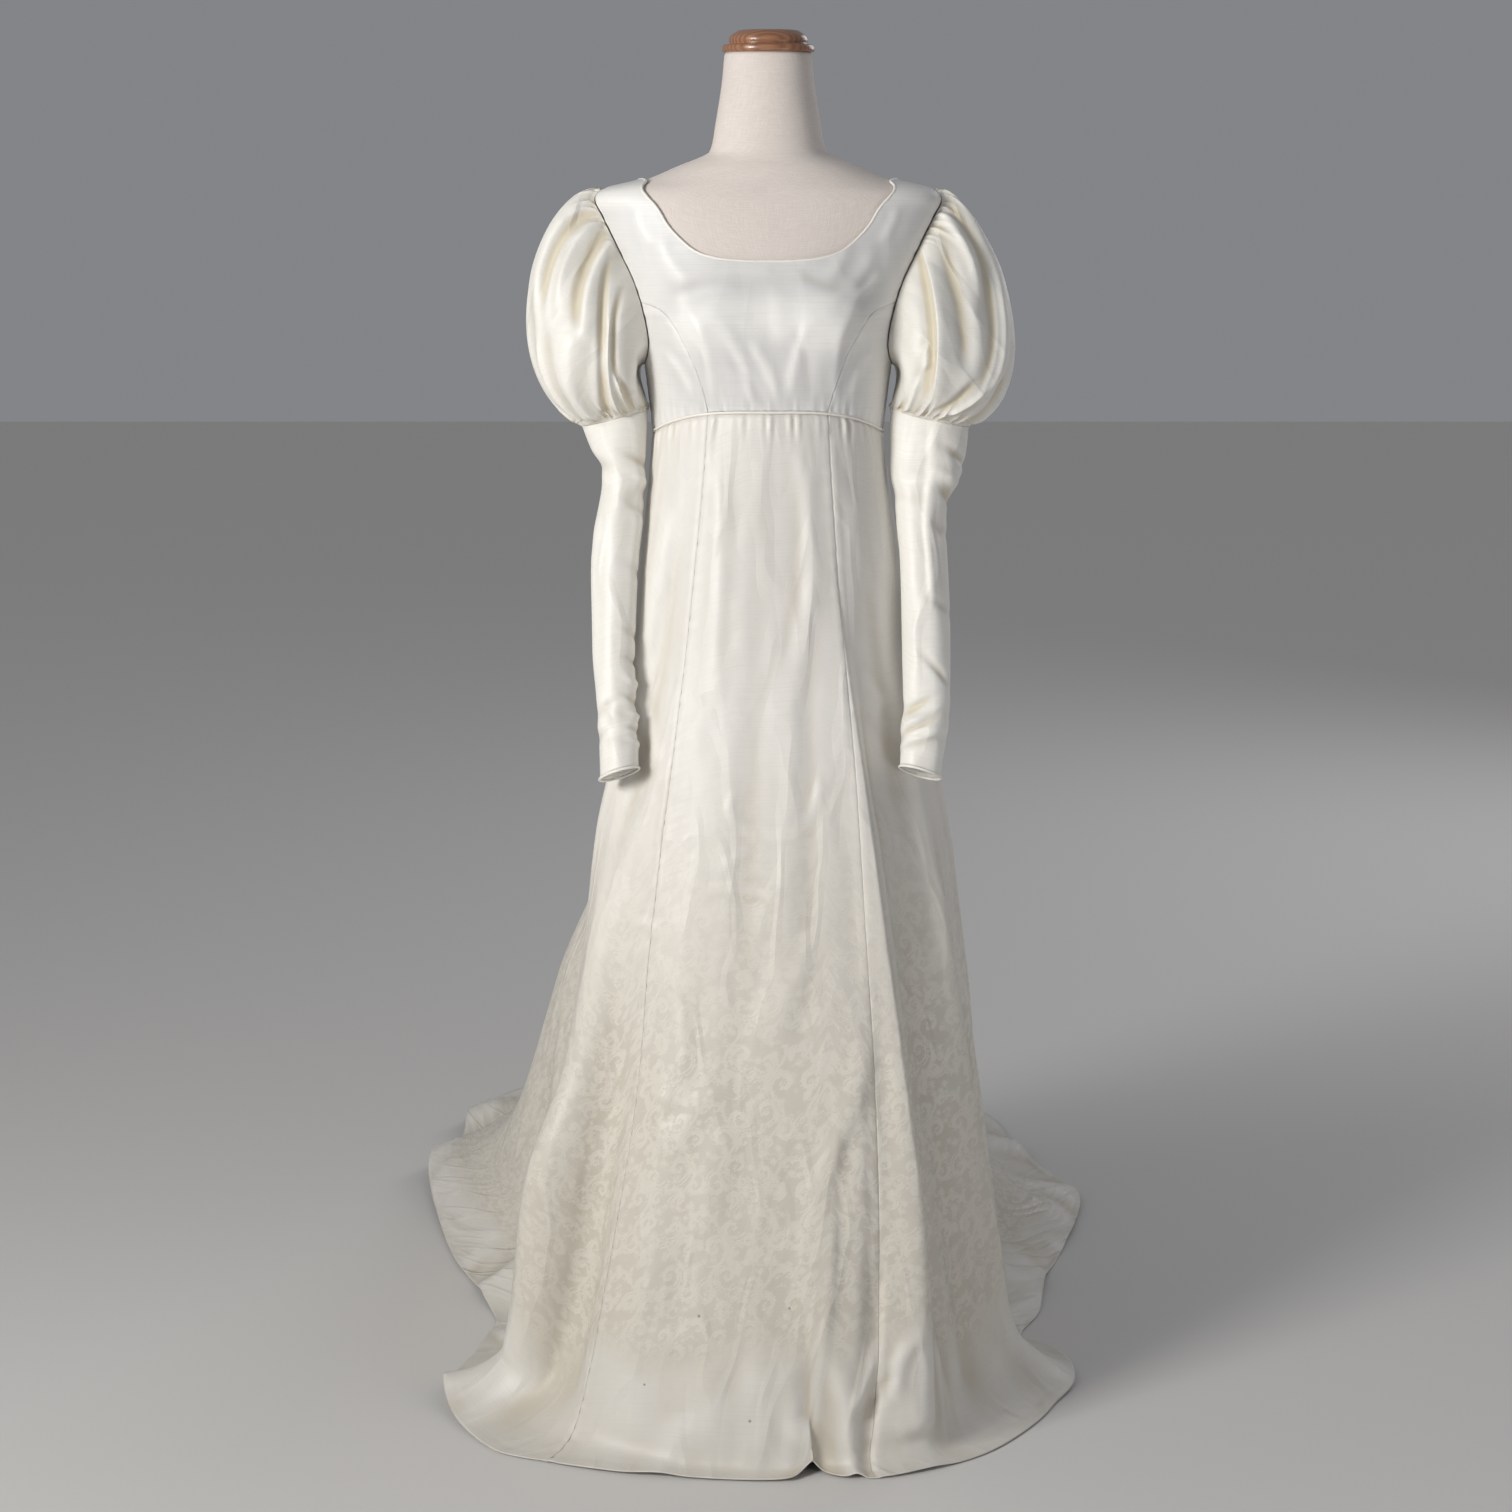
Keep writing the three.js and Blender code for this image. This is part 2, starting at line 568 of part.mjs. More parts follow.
const SKIRT_PANELS = [
  { name: "skirt_front", from: "left", to: "right", columns: 14 },
  { name: "skirt_side_front_left", from: "sideLeft", to: "left", columns: 12 },
  { name: "skirt_side_front_right", from: "right", to: "sideRight", columns: 13 },
  { name: "skirt_back_left", from: "backLeft", to: "sideLeft", columns: 15 },
  { name: "skirt_back_right", from: "sideRight", to: "backRight", columns: 15 },
];
function skirtPanel({ from, to, columns }) {
  const face = (u, v, lift) => {
    const start = seamAt[from](v);
    const end = seamAt[to](v);
    const turn = mix(start, end, u);
    const middle = skirtSurface(turn, v);
    const gap = SKIRT_SEAM / 2 / (Math.hypot(middle.x, middle.y) * DEG);
    return onSkirt(mix(start + gap, end - gap, u), v, lift);
  };
  return wall(face, columns, SKIRT_ROWS, SKIRT_WALL);
}
for (const panel of SKIRT_PANELS) add(panel.name, skirtPanel(panel), cloth(IVORY));

// ---------- Sleeves ----------
// Each sleeve has a gathered puff from the armhole to the elbow seam, and a fitted lower sleeve.
// The lower sleeve's sections, measured on the right-hand (+X) side: height, centre and half sizes.
const SLEEVES = {
  left: {
    side: -1,
    head: { out: 62, up: 26, low: 124, drop: 62 },
    sections: [
      { down: 0, z: 1168, x: 178, y: -22, half: 40, deep: 38 },
      { down: 0.072, z: 1140, x: 173.3, y: -30, half: 33, deep: 34 },
      { down: 0.13, z: 1118, x: 167, y: -38, half: 26, deep: 30 },
      { down: 0.274, z: 1062, x: 171.7, y: -56, half: 28.5, deep: 29 },
      { down: 0.39, z: 1017, x: 177, y: -71, half: 29, deep: 28 },
      { down: 0.506, z: 972, x: 178, y: -86, half: 27.5, deep: 27 },
      { down: 0.65, z: 916, x: 178, y: -103, half: 26, deep: 26 },
      { down: 0.78, z: 866, x: 175, y: -119, half: 24.5, deep: 25 },
      { down: 0.89, z: 825, x: 172, y: -132, half: 24, deep: 24 },
      { down: 1, z: 781, x: 171, y: -143, half: 23.5, deep: 23 },
    ],
  },
  right: {
    side: 1,
    head: { out: 46, up: 22, low: 116, drop: 40 },
    sections: [
      { down: 0, z: 1168, x: 188, y: -22, half: 47, deep: 40 },
      { down: 0.1, z: 1129, x: 185, y: -34, half: 45, deep: 37 },
      { down: 0.217, z: 1084, x: 178, y: -50, half: 33.5, deep: 33 },
      { down: 0.274, z: 1062, x: 177, y: -57, half: 30, deep: 31 },
      { down: 0.39, z: 1017, x: 180, y: -72, half: 29, deep: 30 },
      { down: 0.563, z: 950, x: 182, y: -93, half: 29.5, deep: 28 },
      { down: 0.796, z: 860, x: 182.5, y: -118, half: 28.5, deep: 26 },
      { down: 0.89, z: 825, x: 179, y: -127, half: 28, deep: 25 },
      { down: 1, z: 781, x: 175, y: -135, half: 24.5, deep: 24 },
    ],
  },
};
const CUFF_TILT = { inner: 14, back: 18 }; // the cuff runs down from its inner edge to its back edge
const ELBOW_RISE = 20; // the elbow seam is this much higher on its inner side
const SLEEVE_CREASES = [
  { down: 0.14, around: 60, height: 0.025, out: 2.2 },
  { down: 0.2, around: 140, height: 0.03, out: -2.5 },
  { down: 0.3, around: 20, height: 0.04, out: 1.6 },
  { down: 0.82, around: 120, height: 0.022, out: -2 },
  { down: 0.87, around: 60, height: 0.02, out: 2 },
  { down: 0.92, around: 150, height: 0.02, out: -1.6 },
];

function sleeveSurface(sleeve) {
  const read = {};
  for (const key of ["z", "x", "y", "half", "deep"]) read[key] = column(sleeve.sections, "down", key);
  // around: 0 at the outer side, 90 at the front, 180 against the skirt, in degrees
  return (around, down) => {
    const c = Math.cos(around * DEG);
    const s = Math.sin(around * DEG);
    let out = 0;
    for (const crease of SLEEVE_CREASES) {
      const near = bell(turnAway(around, crease.around) / 75);
      out += crease.out * near * bell((down - crease.down) / crease.height);
    }
    const tilt = smooth((down - 0.8) / 0.2) * (-CUFF_TILT.inner * c * 0.5 + CUFF_TILT.back * s * 0.5);
    const rise = ELBOW_RISE * (0.5 - 0.5 * c) * (1 - smooth(down / 0.09));
    const x = read.x(down) + (read.half(down) + out) * c;
    const y = read.y(down) - (read.deep(down) + out) * s;
    return new THREE.Vector3(sleeve.side * x, y, read.z(down) + tilt + rise);
  };
}

const GATHERS = 20; // over the head of the sleeve
const GATHER_SPREAD = 250; // degrees of the armhole that are gathered
const PLAIN_COLUMNS = 8;
const PUFF_INSET = 2.8; // the seam of the puff lies this far inside the bodice's armhole edge
const HEAD_SWING = { front: 44, back: 24 }; // how far the head swells forward and back from its seam
const CAP_GATHER = 2.2;
const ELBOW_GATHER = 2.6;
const PUFF_ROWS = [0, 0.05, 0.13, 0.26, 0.41, 0.56, 0.7, 0.83, 0.94, 1];

// The armhole from the shoulder tip round the front (0 to 180) and back up (180 to 360), by share of length.
function armhole(around) {
  const turned = ((around % 360) + 360) % 360;
  if (turned <= 110) return armFront(turned / 110);
  if (turned <= 180) return armUnder((turned - 110) / 70);
  if (turned <= 223) return armUnderBack((turned - 180) / 43);
  return armBack((turned - 223) / 137);
}
const PUFF_FOLDS = [
  { around: 25, width: 9, out: 7 },
  { around: 52, width: 8, out: -5 },
  { around: 78, width: 9, out: 7 },
  { around: 105, width: 8, out: -6 },
  { around: 128, width: 8, out: 4 },
  { around: -30, width: 9, out: -5 },
  { around: -60, width: 10, out: 6 },
  { around: -92, width: 10, out: -5 },
];

function puffSurface(sleeve) {
  const lower = sleeveSurface(sleeve);
  const head = sleeve.head;
  const centre = { turn: 90, z: 1330 };
  const meridian = (around, along) => {
    const c = Math.cos(around * DEG);
    const s = Math.sin(around * DEG);
    const outer = (1 + c) / 2;
    const edge = armhole(around);
    const seam = inset(edge, centre, PUFF_INSET);
    const start = draped(seam.turn, seam.z, EASE + 0.4);
    const end = lower(around, 0);
    end.x *= sleeve.side;
    end.z += TOUCH + 0.25;
    const swing = s > 0 ? HEAD_SWING.front : HEAD_SWING.back;
    const first = new THREE.Vector3(mix(14, head.out, outer ** 0.7), -swing * s, mix(-6, head.up, outer));
    const second = new THREE.Vector3(mix(3, head.low, outer ** 1.2), -72 * s, mix(24, head.drop, outer));
    return new THREE.CubicBezierCurve3(
      start, start.clone().add(first), end.clone().add(second), end,
    ).getPoint(along);
  };
  const plain = lifted(meridian, 0.5, 0.004, 1);
  return (around, along) => {
    const t = clamp(along, 0, 1);
    const wrapped = turnAway(around, 0);
    const phase = (wrapped / GATHER_SPREAD) * 2 * Math.PI * GATHERS;
    const fade = smooth((GATHER_SPREAD / 2 - Math.abs(wrapped)) / 12 + 0.3);
    const uneven = 1 + 0.3 * Math.sin(wrapped * 0.21 + sleeve.side) + 0.2 * Math.sin(wrapped * 0.083);
    const atCap = CAP_GATHER * smooth(t / 0.1) * bell((t - 0.1) / 0.13);
    const atElbow = ELBOW_GATHER * smooth((1 - t) / 0.07) * bell((0.93 - t) / 0.12);
    let out = Math.cos(phase) * fade * uneven * (atCap + atElbow);
    const middle = smooth(t / 0.25) * smooth((1 - t) / 0.2);
    for (const fold of PUFF_FOLDS) out += fold.out * middle * bell(turnAway(around, fold.around) / fold.width);
    const point = plain(around, t, -out);
    point.x *= sleeve.side;
    return point;
  };
}

// Columns fall on each crest and trough of the gathers, and are wider apart under the arm.
const gatherStep = GATHER_SPREAD / (2 * GATHERS) / 360;
const puffColumns = Array.from({ length: 2 * GATHERS + 1 }, (_, i) => (i - GATHERS) * gatherStep);
for (let i = 1; i <= PLAIN_COLUMNS; i += 1) {
  const last = puffColumns[2 * GATHERS];
  puffColumns.push(mix(last, 1 - last, i / PLAIN_COLUMNS));
}

for (const [name, sleeve] of Object.entries(SLEEVES)) {
  const puff = lifted(puffSurface(sleeve), 0.5, 0.003, -sleeve.side);
  const puffFace = (u, v, lift) => puff(u * 360, v, lift);
  add(`sleeve_puff_${name}`, wall(puffFace, puffColumns, PUFF_ROWS, WALL, true), cloth(CREAM));
  const tube = lifted(sleeveSurface(sleeve), 0.5, 0.003, -sleeve.side);
  const tubeFace = (u, v, lift) => tube(u * 360, v, lift);
  add(`sleeve_lower_${name}`, wall(tubeFace, 16, 13, WALL, true), cloth(IVORY_LIGHT));
  const cuffPoints = [];
  for (let i = 0; i <= 18; i += 1) {
    const around = mix(182, 538, i / 18);
    const edge = tube(around, 1, WALL / 2);
    edge.z -= PIPING + TOUCH + 0.25;
    cuffPoints.push(edge);
  }
  add(`cuff_piping_${name}`, piping(cuffPoints, 16), cloth(PIPING_WHITE));
}

// ---------- Piping at the neck and the empire seam, both open at the centre back ----------
const PIPING_LIFT = EASE + PIPING + 0.5;
const backGap = 1 / ROUND;
function neckPiping() {
  const points = [];
  const half = [];
  for (let i = 0; i <= 10; i += 1) half.push(neckBack(1 - i / 10));
  for (let i = 1; i <= 14; i += 1) half.push(neckFront(i / 14));
  const close = (at) => ({ turn: Math.min(at.turn, CENTRE_BACK - backGap), z: at.z });
  const right = half.map(close);
  for (const at of right) points.push(draped(at.turn, at.z, PIPING_LIFT));
  for (const at of right.slice(0, -1).reverse()) points.push(draped(-at.turn, at.z, PIPING_LIFT));
  return piping(points, 44);
}
function waistPiping() {
  const points = [];
  const steps = 48;
  for (let i = 0; i <= steps; i += 1) {
    const turn = mix(-CENTRE_BACK + backGap, CENTRE_BACK - backGap, i / steps);
    points.push(draped(turn, empireHeight(turn), PIPING_LIFT));
  }
  return piping(points, steps);
}
add("neck_piping", neckPiping(), cloth(PIPING_WHITE));
add("waist_piping", waistPiping(), cloth(PIPING_WHITE));

// ---------- Dress form ----------
const FORM_ROWS = [
  800, 850, 910, 970, 1030, 1095, 1161, 1205, 1240, 1270, 1300, 1335, 1370, 1400, 1420, 1430, 1437,
  1443, 1449, 1456, 1465, 1479, 1510, 1550, NECK_TOP,
];
// The form is a little smaller than the dress's own figure, most at the tips of its shoulders.
const FORM_INSIDE = 1;
const UNDER_SKIRT = 1.2;
const TIP = { z: 1428, height: 14, inside: 2.6 };
function formRadius(turn, z) {
  const tip = TIP.inside * bell((z - TIP.z) / TIP.height) * Math.sin(turn * DEG) ** 6;
  return figureRadius(turn, z) - FORM_INSIDE - tip - UNDER_SKIRT * smooth((1250 - z) / 60);
}
function formTorso() {
  const around = 28;
  const rounded = 14; // radius of the bottom edge
  const rings = [{ z: FORM_BOTTOM, inward: rounded }, ...FORM_ROWS.slice(1).map((z) => ({ z, inward: 0 }))];
  const points = [];
  for (const ring of rings) {
    for (let i = 0; i < around; i += 1) {
      const turn = (i / around) * 360;
      points.push(polar(turn, formRadius(turn, ring.z) - ring.inward, ring.z));
    }
  }
  const bottom = points.push(new THREE.Vector3(0, 0, FORM_BOTTOM)) - 1;
  const top = points.push(new THREE.Vector3(0, 0, NECK_TOP)) - 1;
  const faces = [];
  const last = rings.length - 1;
  for (let i = 0; i < around; i += 1) {
    const next = (i + 1) % around;
    for (let j = 0; j < last; j += 1) {
      const a = j * around + i;
      const b = j * around + next;
      faces.push([a, b, b + around], [a, b + around, a + around]);
    }
    faces.push([bottom, next, i], [top, last * around + i, last * around + next]);
  }
  return solid(points, faces);
}
function lathe(profile, segments) {
  const points = profile.map(([radius, z]) => new THREE.Vector2(radius, z));
  const turned = new THREE.LatheGeometry(points, segments);
  turned.rotateX(Math.PI / 2);
  return turned;
}
function capProfile() {
  const low = NECK_TOP + TOUCH;
  const high = low + CAP_HEIGHT;
  return [
    [0, low],
    [CAP_RADIUS - 1.5, low],
    [CAP_RADIUS, low + 2],
    [CAP_RADIUS, low + 6],
    [CAP_RADIUS - 2.5, low + 8.5],
    [CAP_RADIUS - 8.5, low + 9],
    [CAP_RADIUS - 7.5, low + 13],
    [CAP_RADIUS - 8.5, low + 18],
    [CAP_RADIUS - 12, low + 20.5],
    [CAP_RADIUS - 17, high - 2.5],
    [CAP_RADIUS - 22, high],
    [0, high],
  ];
}
const linen = new THREE.MeshStandardMaterial({ color: 0xe0d6cb, roughness: 0.9, metalness: 0 });
const wood = new THREE.MeshStandardMaterial({ color: 0xa9714c, roughness: 0.4, metalness: 0 });
const steel = new THREE.MeshStandardMaterial({ color: 0xb9b8b4, roughness: 0.35, metalness: 1 });
add("form_torso", formTorso(), linen);
add("neck_cap", lathe(capProfile(), 22), wood);
const POLE_TOP = FORM_BOTTOM - TOUCH;
const POLE_FOOT = BASE_HEIGHT + TOUCH;
const poleProfile = [[0, POLE_FOOT], [POLE_RADIUS, POLE_FOOT], [POLE_RADIUS, POLE_TOP], [0, POLE_TOP]];
add("stand_pole", lathe(poleProfile, 16), steel);
const baseProfile = [
  [0, 0],
  [BASE_RADIUS, 0],
  [BASE_RADIUS, 10],
  [BASE_RADIUS - 6, 15],
  [34, BASE_HEIGHT],
  [0, BASE_HEIGHT],
];
add("stand_base", lathe(baseProfile, 28), wood);

export default group;
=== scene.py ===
# %% [markdown]
# # A long wedding dress on its dress form
# The dress is cut from ivory satin: a smooth bodice with a scooped neck, gathered sleeves that end in fitted
# ones, and a skirt whose train lies on the floor behind. A limbless form in linen holds it up.
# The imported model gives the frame. Its cloth walls are coarse, so each panel is worked out again here from
# the same named sizes, on a far finer grid that has room for the small folds. It then takes its node's place.

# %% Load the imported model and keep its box
import math

import bpy
import numpy as np
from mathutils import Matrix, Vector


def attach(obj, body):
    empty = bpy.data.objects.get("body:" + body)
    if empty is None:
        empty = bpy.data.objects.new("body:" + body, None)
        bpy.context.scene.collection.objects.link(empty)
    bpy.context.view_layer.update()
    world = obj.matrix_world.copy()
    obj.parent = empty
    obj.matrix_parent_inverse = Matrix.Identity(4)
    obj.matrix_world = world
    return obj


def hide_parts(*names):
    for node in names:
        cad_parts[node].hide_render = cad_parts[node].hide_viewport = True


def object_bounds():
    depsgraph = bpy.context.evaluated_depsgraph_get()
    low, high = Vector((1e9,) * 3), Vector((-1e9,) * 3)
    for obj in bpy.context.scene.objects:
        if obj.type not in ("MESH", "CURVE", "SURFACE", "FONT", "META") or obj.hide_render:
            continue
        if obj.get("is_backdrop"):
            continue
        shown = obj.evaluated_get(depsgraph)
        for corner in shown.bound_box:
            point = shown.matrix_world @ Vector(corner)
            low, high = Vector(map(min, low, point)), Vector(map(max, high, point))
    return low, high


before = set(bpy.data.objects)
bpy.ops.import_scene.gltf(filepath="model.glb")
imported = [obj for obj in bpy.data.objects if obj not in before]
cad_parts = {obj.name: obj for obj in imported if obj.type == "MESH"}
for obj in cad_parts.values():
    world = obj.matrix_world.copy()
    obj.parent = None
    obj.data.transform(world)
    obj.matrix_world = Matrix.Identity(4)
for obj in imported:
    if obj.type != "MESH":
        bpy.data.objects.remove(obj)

cad_box = [list(corner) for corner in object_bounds()]
print("nodes", len(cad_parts), "box", np.round(cad_box, 3).tolist())

# %% [markdown]
# ## Reading tables
# A pattern cutter works from short tables: so wide at this height, so deep at that one. Blender has curves
# for this, but a table with named columns is shorter, and numpy can read it for a whole grid at once. The
# curve between two rows is a cubic that never overshoots them, so a dip can't appear where no row asks.

# %% Tables, smooth steps and bells
def table(names, *rows):
    """Named columns from rows of numbers."""
    return dict(zip(names.split(), np.array(rows, float).T))


def read(rows, key, value):
    """Cubic between rows: each slope is the harmonic mean of its neighbours', or level at a turning point."""
    x, y = rows[key], rows[value]
    rise = np.diff(y) / np.diff(x)
    slope = np.concatenate([rise[:1], np.zeros(len(y) - 2), rise[-1:]])
    product = rise[:-1] * rise[1:]
    total = np.where(product > 0, rise[:-1] + rise[1:], 1)
    slope[1:-1] = np.where(product > 0, 2 * product / total, 0)

    def at(places):
        t = np.clip(np.asarray(places, float), x[0], x[-1])
        i = np.clip(np.searchsorted(x, t, side="right") - 1, 0, len(x) - 2)
        span = x[i + 1] - x[i]
        s = (t - x[i]) / span
        bend = slope[i] * span * s * (1 - s) ** 2 - slope[i + 1] * span * s * s * (1 - s)
        return y[i] + (y[i + 1] - y[i]) * s * s * (3 - 2 * s) + bend

    return at


def mix(a, b, t):
    return a + (b - a) * t


def smooth(t):
    """A step from 0 to 1 with level ends."""
    t = np.clip(t, 0, 1)
    return t * t * (3 - 2 * t)


def bell(t):
    """1 in the middle, gone at about 2 on each side."""
    return np.exp(-t * t)


def turn_away(a, b):
    """The shorter way round from b to a, in degrees."""
    return (a - b + 540) % 360 - 180


print("half a step", float(smooth(0.5)))

# %% [markdown]
# ## The figure under the dress
# Everything hangs from one general figure: oval sections from the form's bottom to the top of its neck, and
# two soft cups. A sculpted mesh would do too, but a radius that is a function of angle and height lets each
# panel, seam and piping be laid on it exactly, in millimetres.

# %% Sections of the figure
EASE, WALL, SKIRT_WALL = 1.6, 1.4, 1.8
SEAM = 0.4
PIPING = 1.6
EMPIRE_FRONT, EMPIRE_SIDE = 1191, 1161
SIDE_SEAM, CENTRE_BACK = 92, 180
ROUND = 2.3
FIGURE = table(
    "z half front back",
    (800, 146, 112, 116), (860, 153, 120, 124), (920, 152, 121, 122), (980, 143, 114, 106),
    (1040, 130, 104, 90), (1095, 123, 99, 82), (1161, 131, 106, 87), (1191, 135, 110, 91),
    (1240, 141, 119, 98), (1290, 150, 122, 104), (1340, 164, 106, 106), (1380, 179, 91, 101),
    (1410, 191, 81, 92), (1427, 197, 75, 85), (1434, 192, 72, 81), (1440, 176, 70, 78),
    (1446, 151, 68, 75), (1455, 127, 65, 71), (1465, 104, 62, 66), (1473, 83, 59, 62),
    (1481, 68, 57, 60), (1516, 61, 55, 57), (1560, 54, 52, 53), (1592, 51, 50, 50))
SECTION_POWER = 2.15
BUST = dict(angle=33, width=17, z=1287, height=46, rise=15)
figure_half, figure_front, figure_back = (read(FIGURE, "z", key) for key in ("half", "front", "back"))


def figure_radius(degrees, z):
    """An oval of power 2.15 at each height, with a bell-shaped cup on each side of the centre front."""
    angle = np.radians(degrees)
    depth = np.where(np.cos(angle) > 0, figure_front(z), figure_back(z))
    across = np.abs(np.sin(angle)) / figure_half(z)
    along = np.abs(np.cos(angle)) / depth
    oval = (across**SECTION_POWER + along**SECTION_POWER) ** (-1 / SECTION_POWER)
    turned = np.abs(turn_away(degrees, 0))
    cup = bell((turned - BUST["angle"]) / BUST["width"]) * bell((z - BUST["z"]) / BUST["height"])
    return oval + BUST["rise"] * cup


def polar(degrees, radius, z):
    """Points round the axis: 0 degrees is the centre front (-Y), 90 is +X."""
    angle = np.radians(degrees)
    return np.stack(np.broadcast_arrays(radius * np.sin(angle), -radius * np.cos(angle), z), -1)


def lifted(surface, step_s, step_t, side):
    """Moves each point of a surface out along its normal, found from four near points of the surface."""
    def at(s, t, lift):
        across = surface(s + step_s, t) - surface(s - step_s, t)
        down = surface(s, t + step_t) - surface(s, t - step_t)
        normal = np.cross(across, down)
        normal /= np.linalg.norm(normal, axis=-1, keepdims=True)
        return surface(s, t) + side * np.asarray(lift)[..., None] * normal

    return at


def on_figure(degrees, z):
    return polar(degrees, figure_radius(degrees, z), z)


def empire_height(turn):
    """The empire seam rises from the sides to the centre front."""
    return mix(EMPIRE_SIDE, EMPIRE_FRONT, smooth(np.cos(np.radians(turn))))


draped = lifted(on_figure, 0.4, 0.6, 1)
print("under-bust half width", float(figure_half(EMPIRE_SIDE)), "mm")

# %% [markdown]
# ## Paint for cloth, linen, wood and steel
# A material here is one shader with its settings, fed by a few textures. One small function adds a node, and
# another works a list of sums into Math nodes, so a pattern reads like a recipe. Colours are written as the
# sRGB values a designer would pick, and one function turns them to the linear values that light needs.

# %% Colour and node helpers
def colour(hex_text):
    """sRGB hex to linear light, with alpha 1."""
    parts = np.array([int(hex_text[i:i + 2], 16) / 255 for i in (1, 3, 5)])
    linear = np.where(parts <= 0.04045, parts / 12.92, ((parts + 0.055) / 1.055) ** 2.4)
    return (*linear.tolist(), 1.0)


def add_node(tree, kind, inputs=(), **settings):
    """Adds a node, sets its settings, then links or sets each named input. A colour may be a hex value."""
    made = tree.nodes.new("ShaderNode" + kind)
    for name, value in settings.items():
        setattr(made, name, value)
    for name, value in dict(inputs).items():
        if isinstance(value, bpy.types.NodeSocket):
            tree.links.new(value, made.inputs[name])
        else:
            made.inputs[name].default_value = colour(value) if isinstance(value, str) else value
    return made


def work_out(tree, sums, **known):
    """Turns lines such as 'r = ADD x y' into Math nodes. A word is an earlier result, a number is itself."""
    for line in filter(None, (part.strip() for part in sums.replace("\n", ";").split(";"))):
        name, _, operation, *terms = line.split()
        inputs = {i: known[t] if t in known else float(t) for i, t in enumerate(terms)}
        known[name] = add_node(tree, "Math", inputs, operation=operation).outputs[0]
    return known


def new_material(name):
    """A material with an empty tree but for its shader and output."""
    made = bpy.data.materials.new(name)
    made.use_nodes = True
    tree = made.node_tree
    tree.nodes.clear()
    shader = add_node(tree, "BsdfPrincipled")
    add_node(tree, "OutputMaterial", {"Surface": shader.outputs[0]})
    return made, tree, shader


# %% [markdown]
# ## Duchesse satin and damask
# Satin floats most of its threads on the face, so it is smooth and has a soft broad gleam. This one has a
# slub weft: now and then a thread is thicker, which shows as short fine lines across the cloth. The lower
# skirt is damask, the same thread woven the other way up in scrolls and leaves, seen only as dull on bright.
# The scrolls are worked out as spirals in a repeat that drops by half at each column, and mirrors in it.

# %% The damask repeat
REPEAT_WIDTH, REPEAT_HEIGHT = 0.098, 0.126  # metres, one repeat of the weave
# Scrolls in half a repeat: centre across and up, radius, starting turn, which way it winds, windings.
SCROLLS = table(
    "x y radius turn side wind",
    (0.016, 0.018, 0.019, 0.3, 1, 1.7), (0.034, -0.012, 0.017, 2.2, -1, 1.9),
    (0.013, -0.034, 0.016, 4.0, 1, 1.8), (0.035, 0.043, 0.016, 1.2, -1, 1.6),
    (0.041, 0.016, 0.011, 5.1, 1, 1.3), (0.006, 0.051, 0.012, 2.9, -1, 1.4),
    (0.030, -0.050, 0.013, 0.9, 1, 1.5), (0.045, -0.032, 0.010, 3.0, 1, 1.2))


def damask(tree, uv):
    """1 on the scrolls and 0 between. Each scroll is a spiral band: the cosine of angle plus log of radius,
    inside an edge that leaves notch; stems join them, and the half repeat is mirrored on its own middle."""
    placed = add_node(tree, "Mapping", {"Vector": uv, "Scale": (330, 330, 1)}).outputs[0]
    ragged = add_node(tree, "TexNoise", {"Vector": placed, "Scale": 1.0, "Detail": 1.5,
                                         "Roughness": 0.5}).outputs[0]
    leaves = add_node(tree, "TexVoronoi", {"Vector": uv, "Scale": 92.0, "Randomness": 0.9},
                      feature="SMOOTH_F1").outputs["Distance"]
    parts = add_node(tree, "SeparateXYZ", {0: uv}).outputs
    grown = work_out(tree, f"""
        rag = SUBTRACT ragged 0.5
        shift = MULTIPLY rag 0.010
        u = ADD across shift
        v = ADD up shift
        column = DIVIDE u {REPEAT_WIDTH}
        whole = FLOOR column
        odd = MODULO whole 2
        even = ABSOLUTE odd
        drop = MULTIPLY even {REPEAT_HEIGHT / 2}
        fallen = ADD v drop
        row = DIVIDE fallen {REPEAT_HEIGHT}
        cellx = FRACT column
        celly = FRACT row
        midx = SUBTRACT cellx 0.5
        midy = SUBTRACT celly 0.5
        halfx = ABSOLUTE midx
        x = MULTIPLY halfx {REPEAT_WIDTH}
        y = MULTIPLY midy {REPEAT_HEIGHT}
        sway = MULTIPLY y 88
        wave = SINE sway
        bent = MULTIPLY wave 0.009
        stem = ADD bent 0.023
        off = SUBTRACT x stem
        far = ABSOLUTE off
        near = DIVIDE far 0.0030
        thin = SUBTRACT 1.2 near
        small = SUBTRACT 0.44 leaves
        leaf = MULTIPLY_ADD rag 0.5 small
        blade = MULTIPLY leaf 4.5
        mask = MAXIMUM thin blade
        """, ragged=ragged, leaves=leaves, across=parts[0], up=parts[1])
    x, y, mask = grown["x"], grown["y"], grown["mask"]
    for cx, cy, radius, turn, side, wind in zip(*SCROLLS.values()):
        mask = work_out(tree, f"""
            dx = SUBTRACT x {cx}
            dy = SUBTRACT y {cy}
            xx = MULTIPLY dx dx
            yy = MULTIPLY dy dy
            rr = ADD xx yy
            r = SQRT rr
            angle = ARCTAN2 dy dx
            share = DIVIDE r {radius}
            safe = MAXIMUM share 0.03
            log = LOGARITHM safe 2.718
            wound = MULTIPLY log {side * wind * 2.0}
            phase = ADD angle wound
            led = ADD phase {turn}
            arm = COSINE led
            many = MULTIPLY led 6
            notch = COSINE many
            leaf = MULTIPLY_ADD notch 0.30 0.95
            inside = SUBTRACT leaf share
            edge = MULTIPLY inside 7
            body = ADD arm 0.12
            wide = MULTIPLY body 2.2
            both = MINIMUM edge wide
            mask = MAXIMUM both old
            """, x=x, y=y, old=mask)["mask"]
    return add_node(tree, "Clamp", {0: mask}).outputs[0]


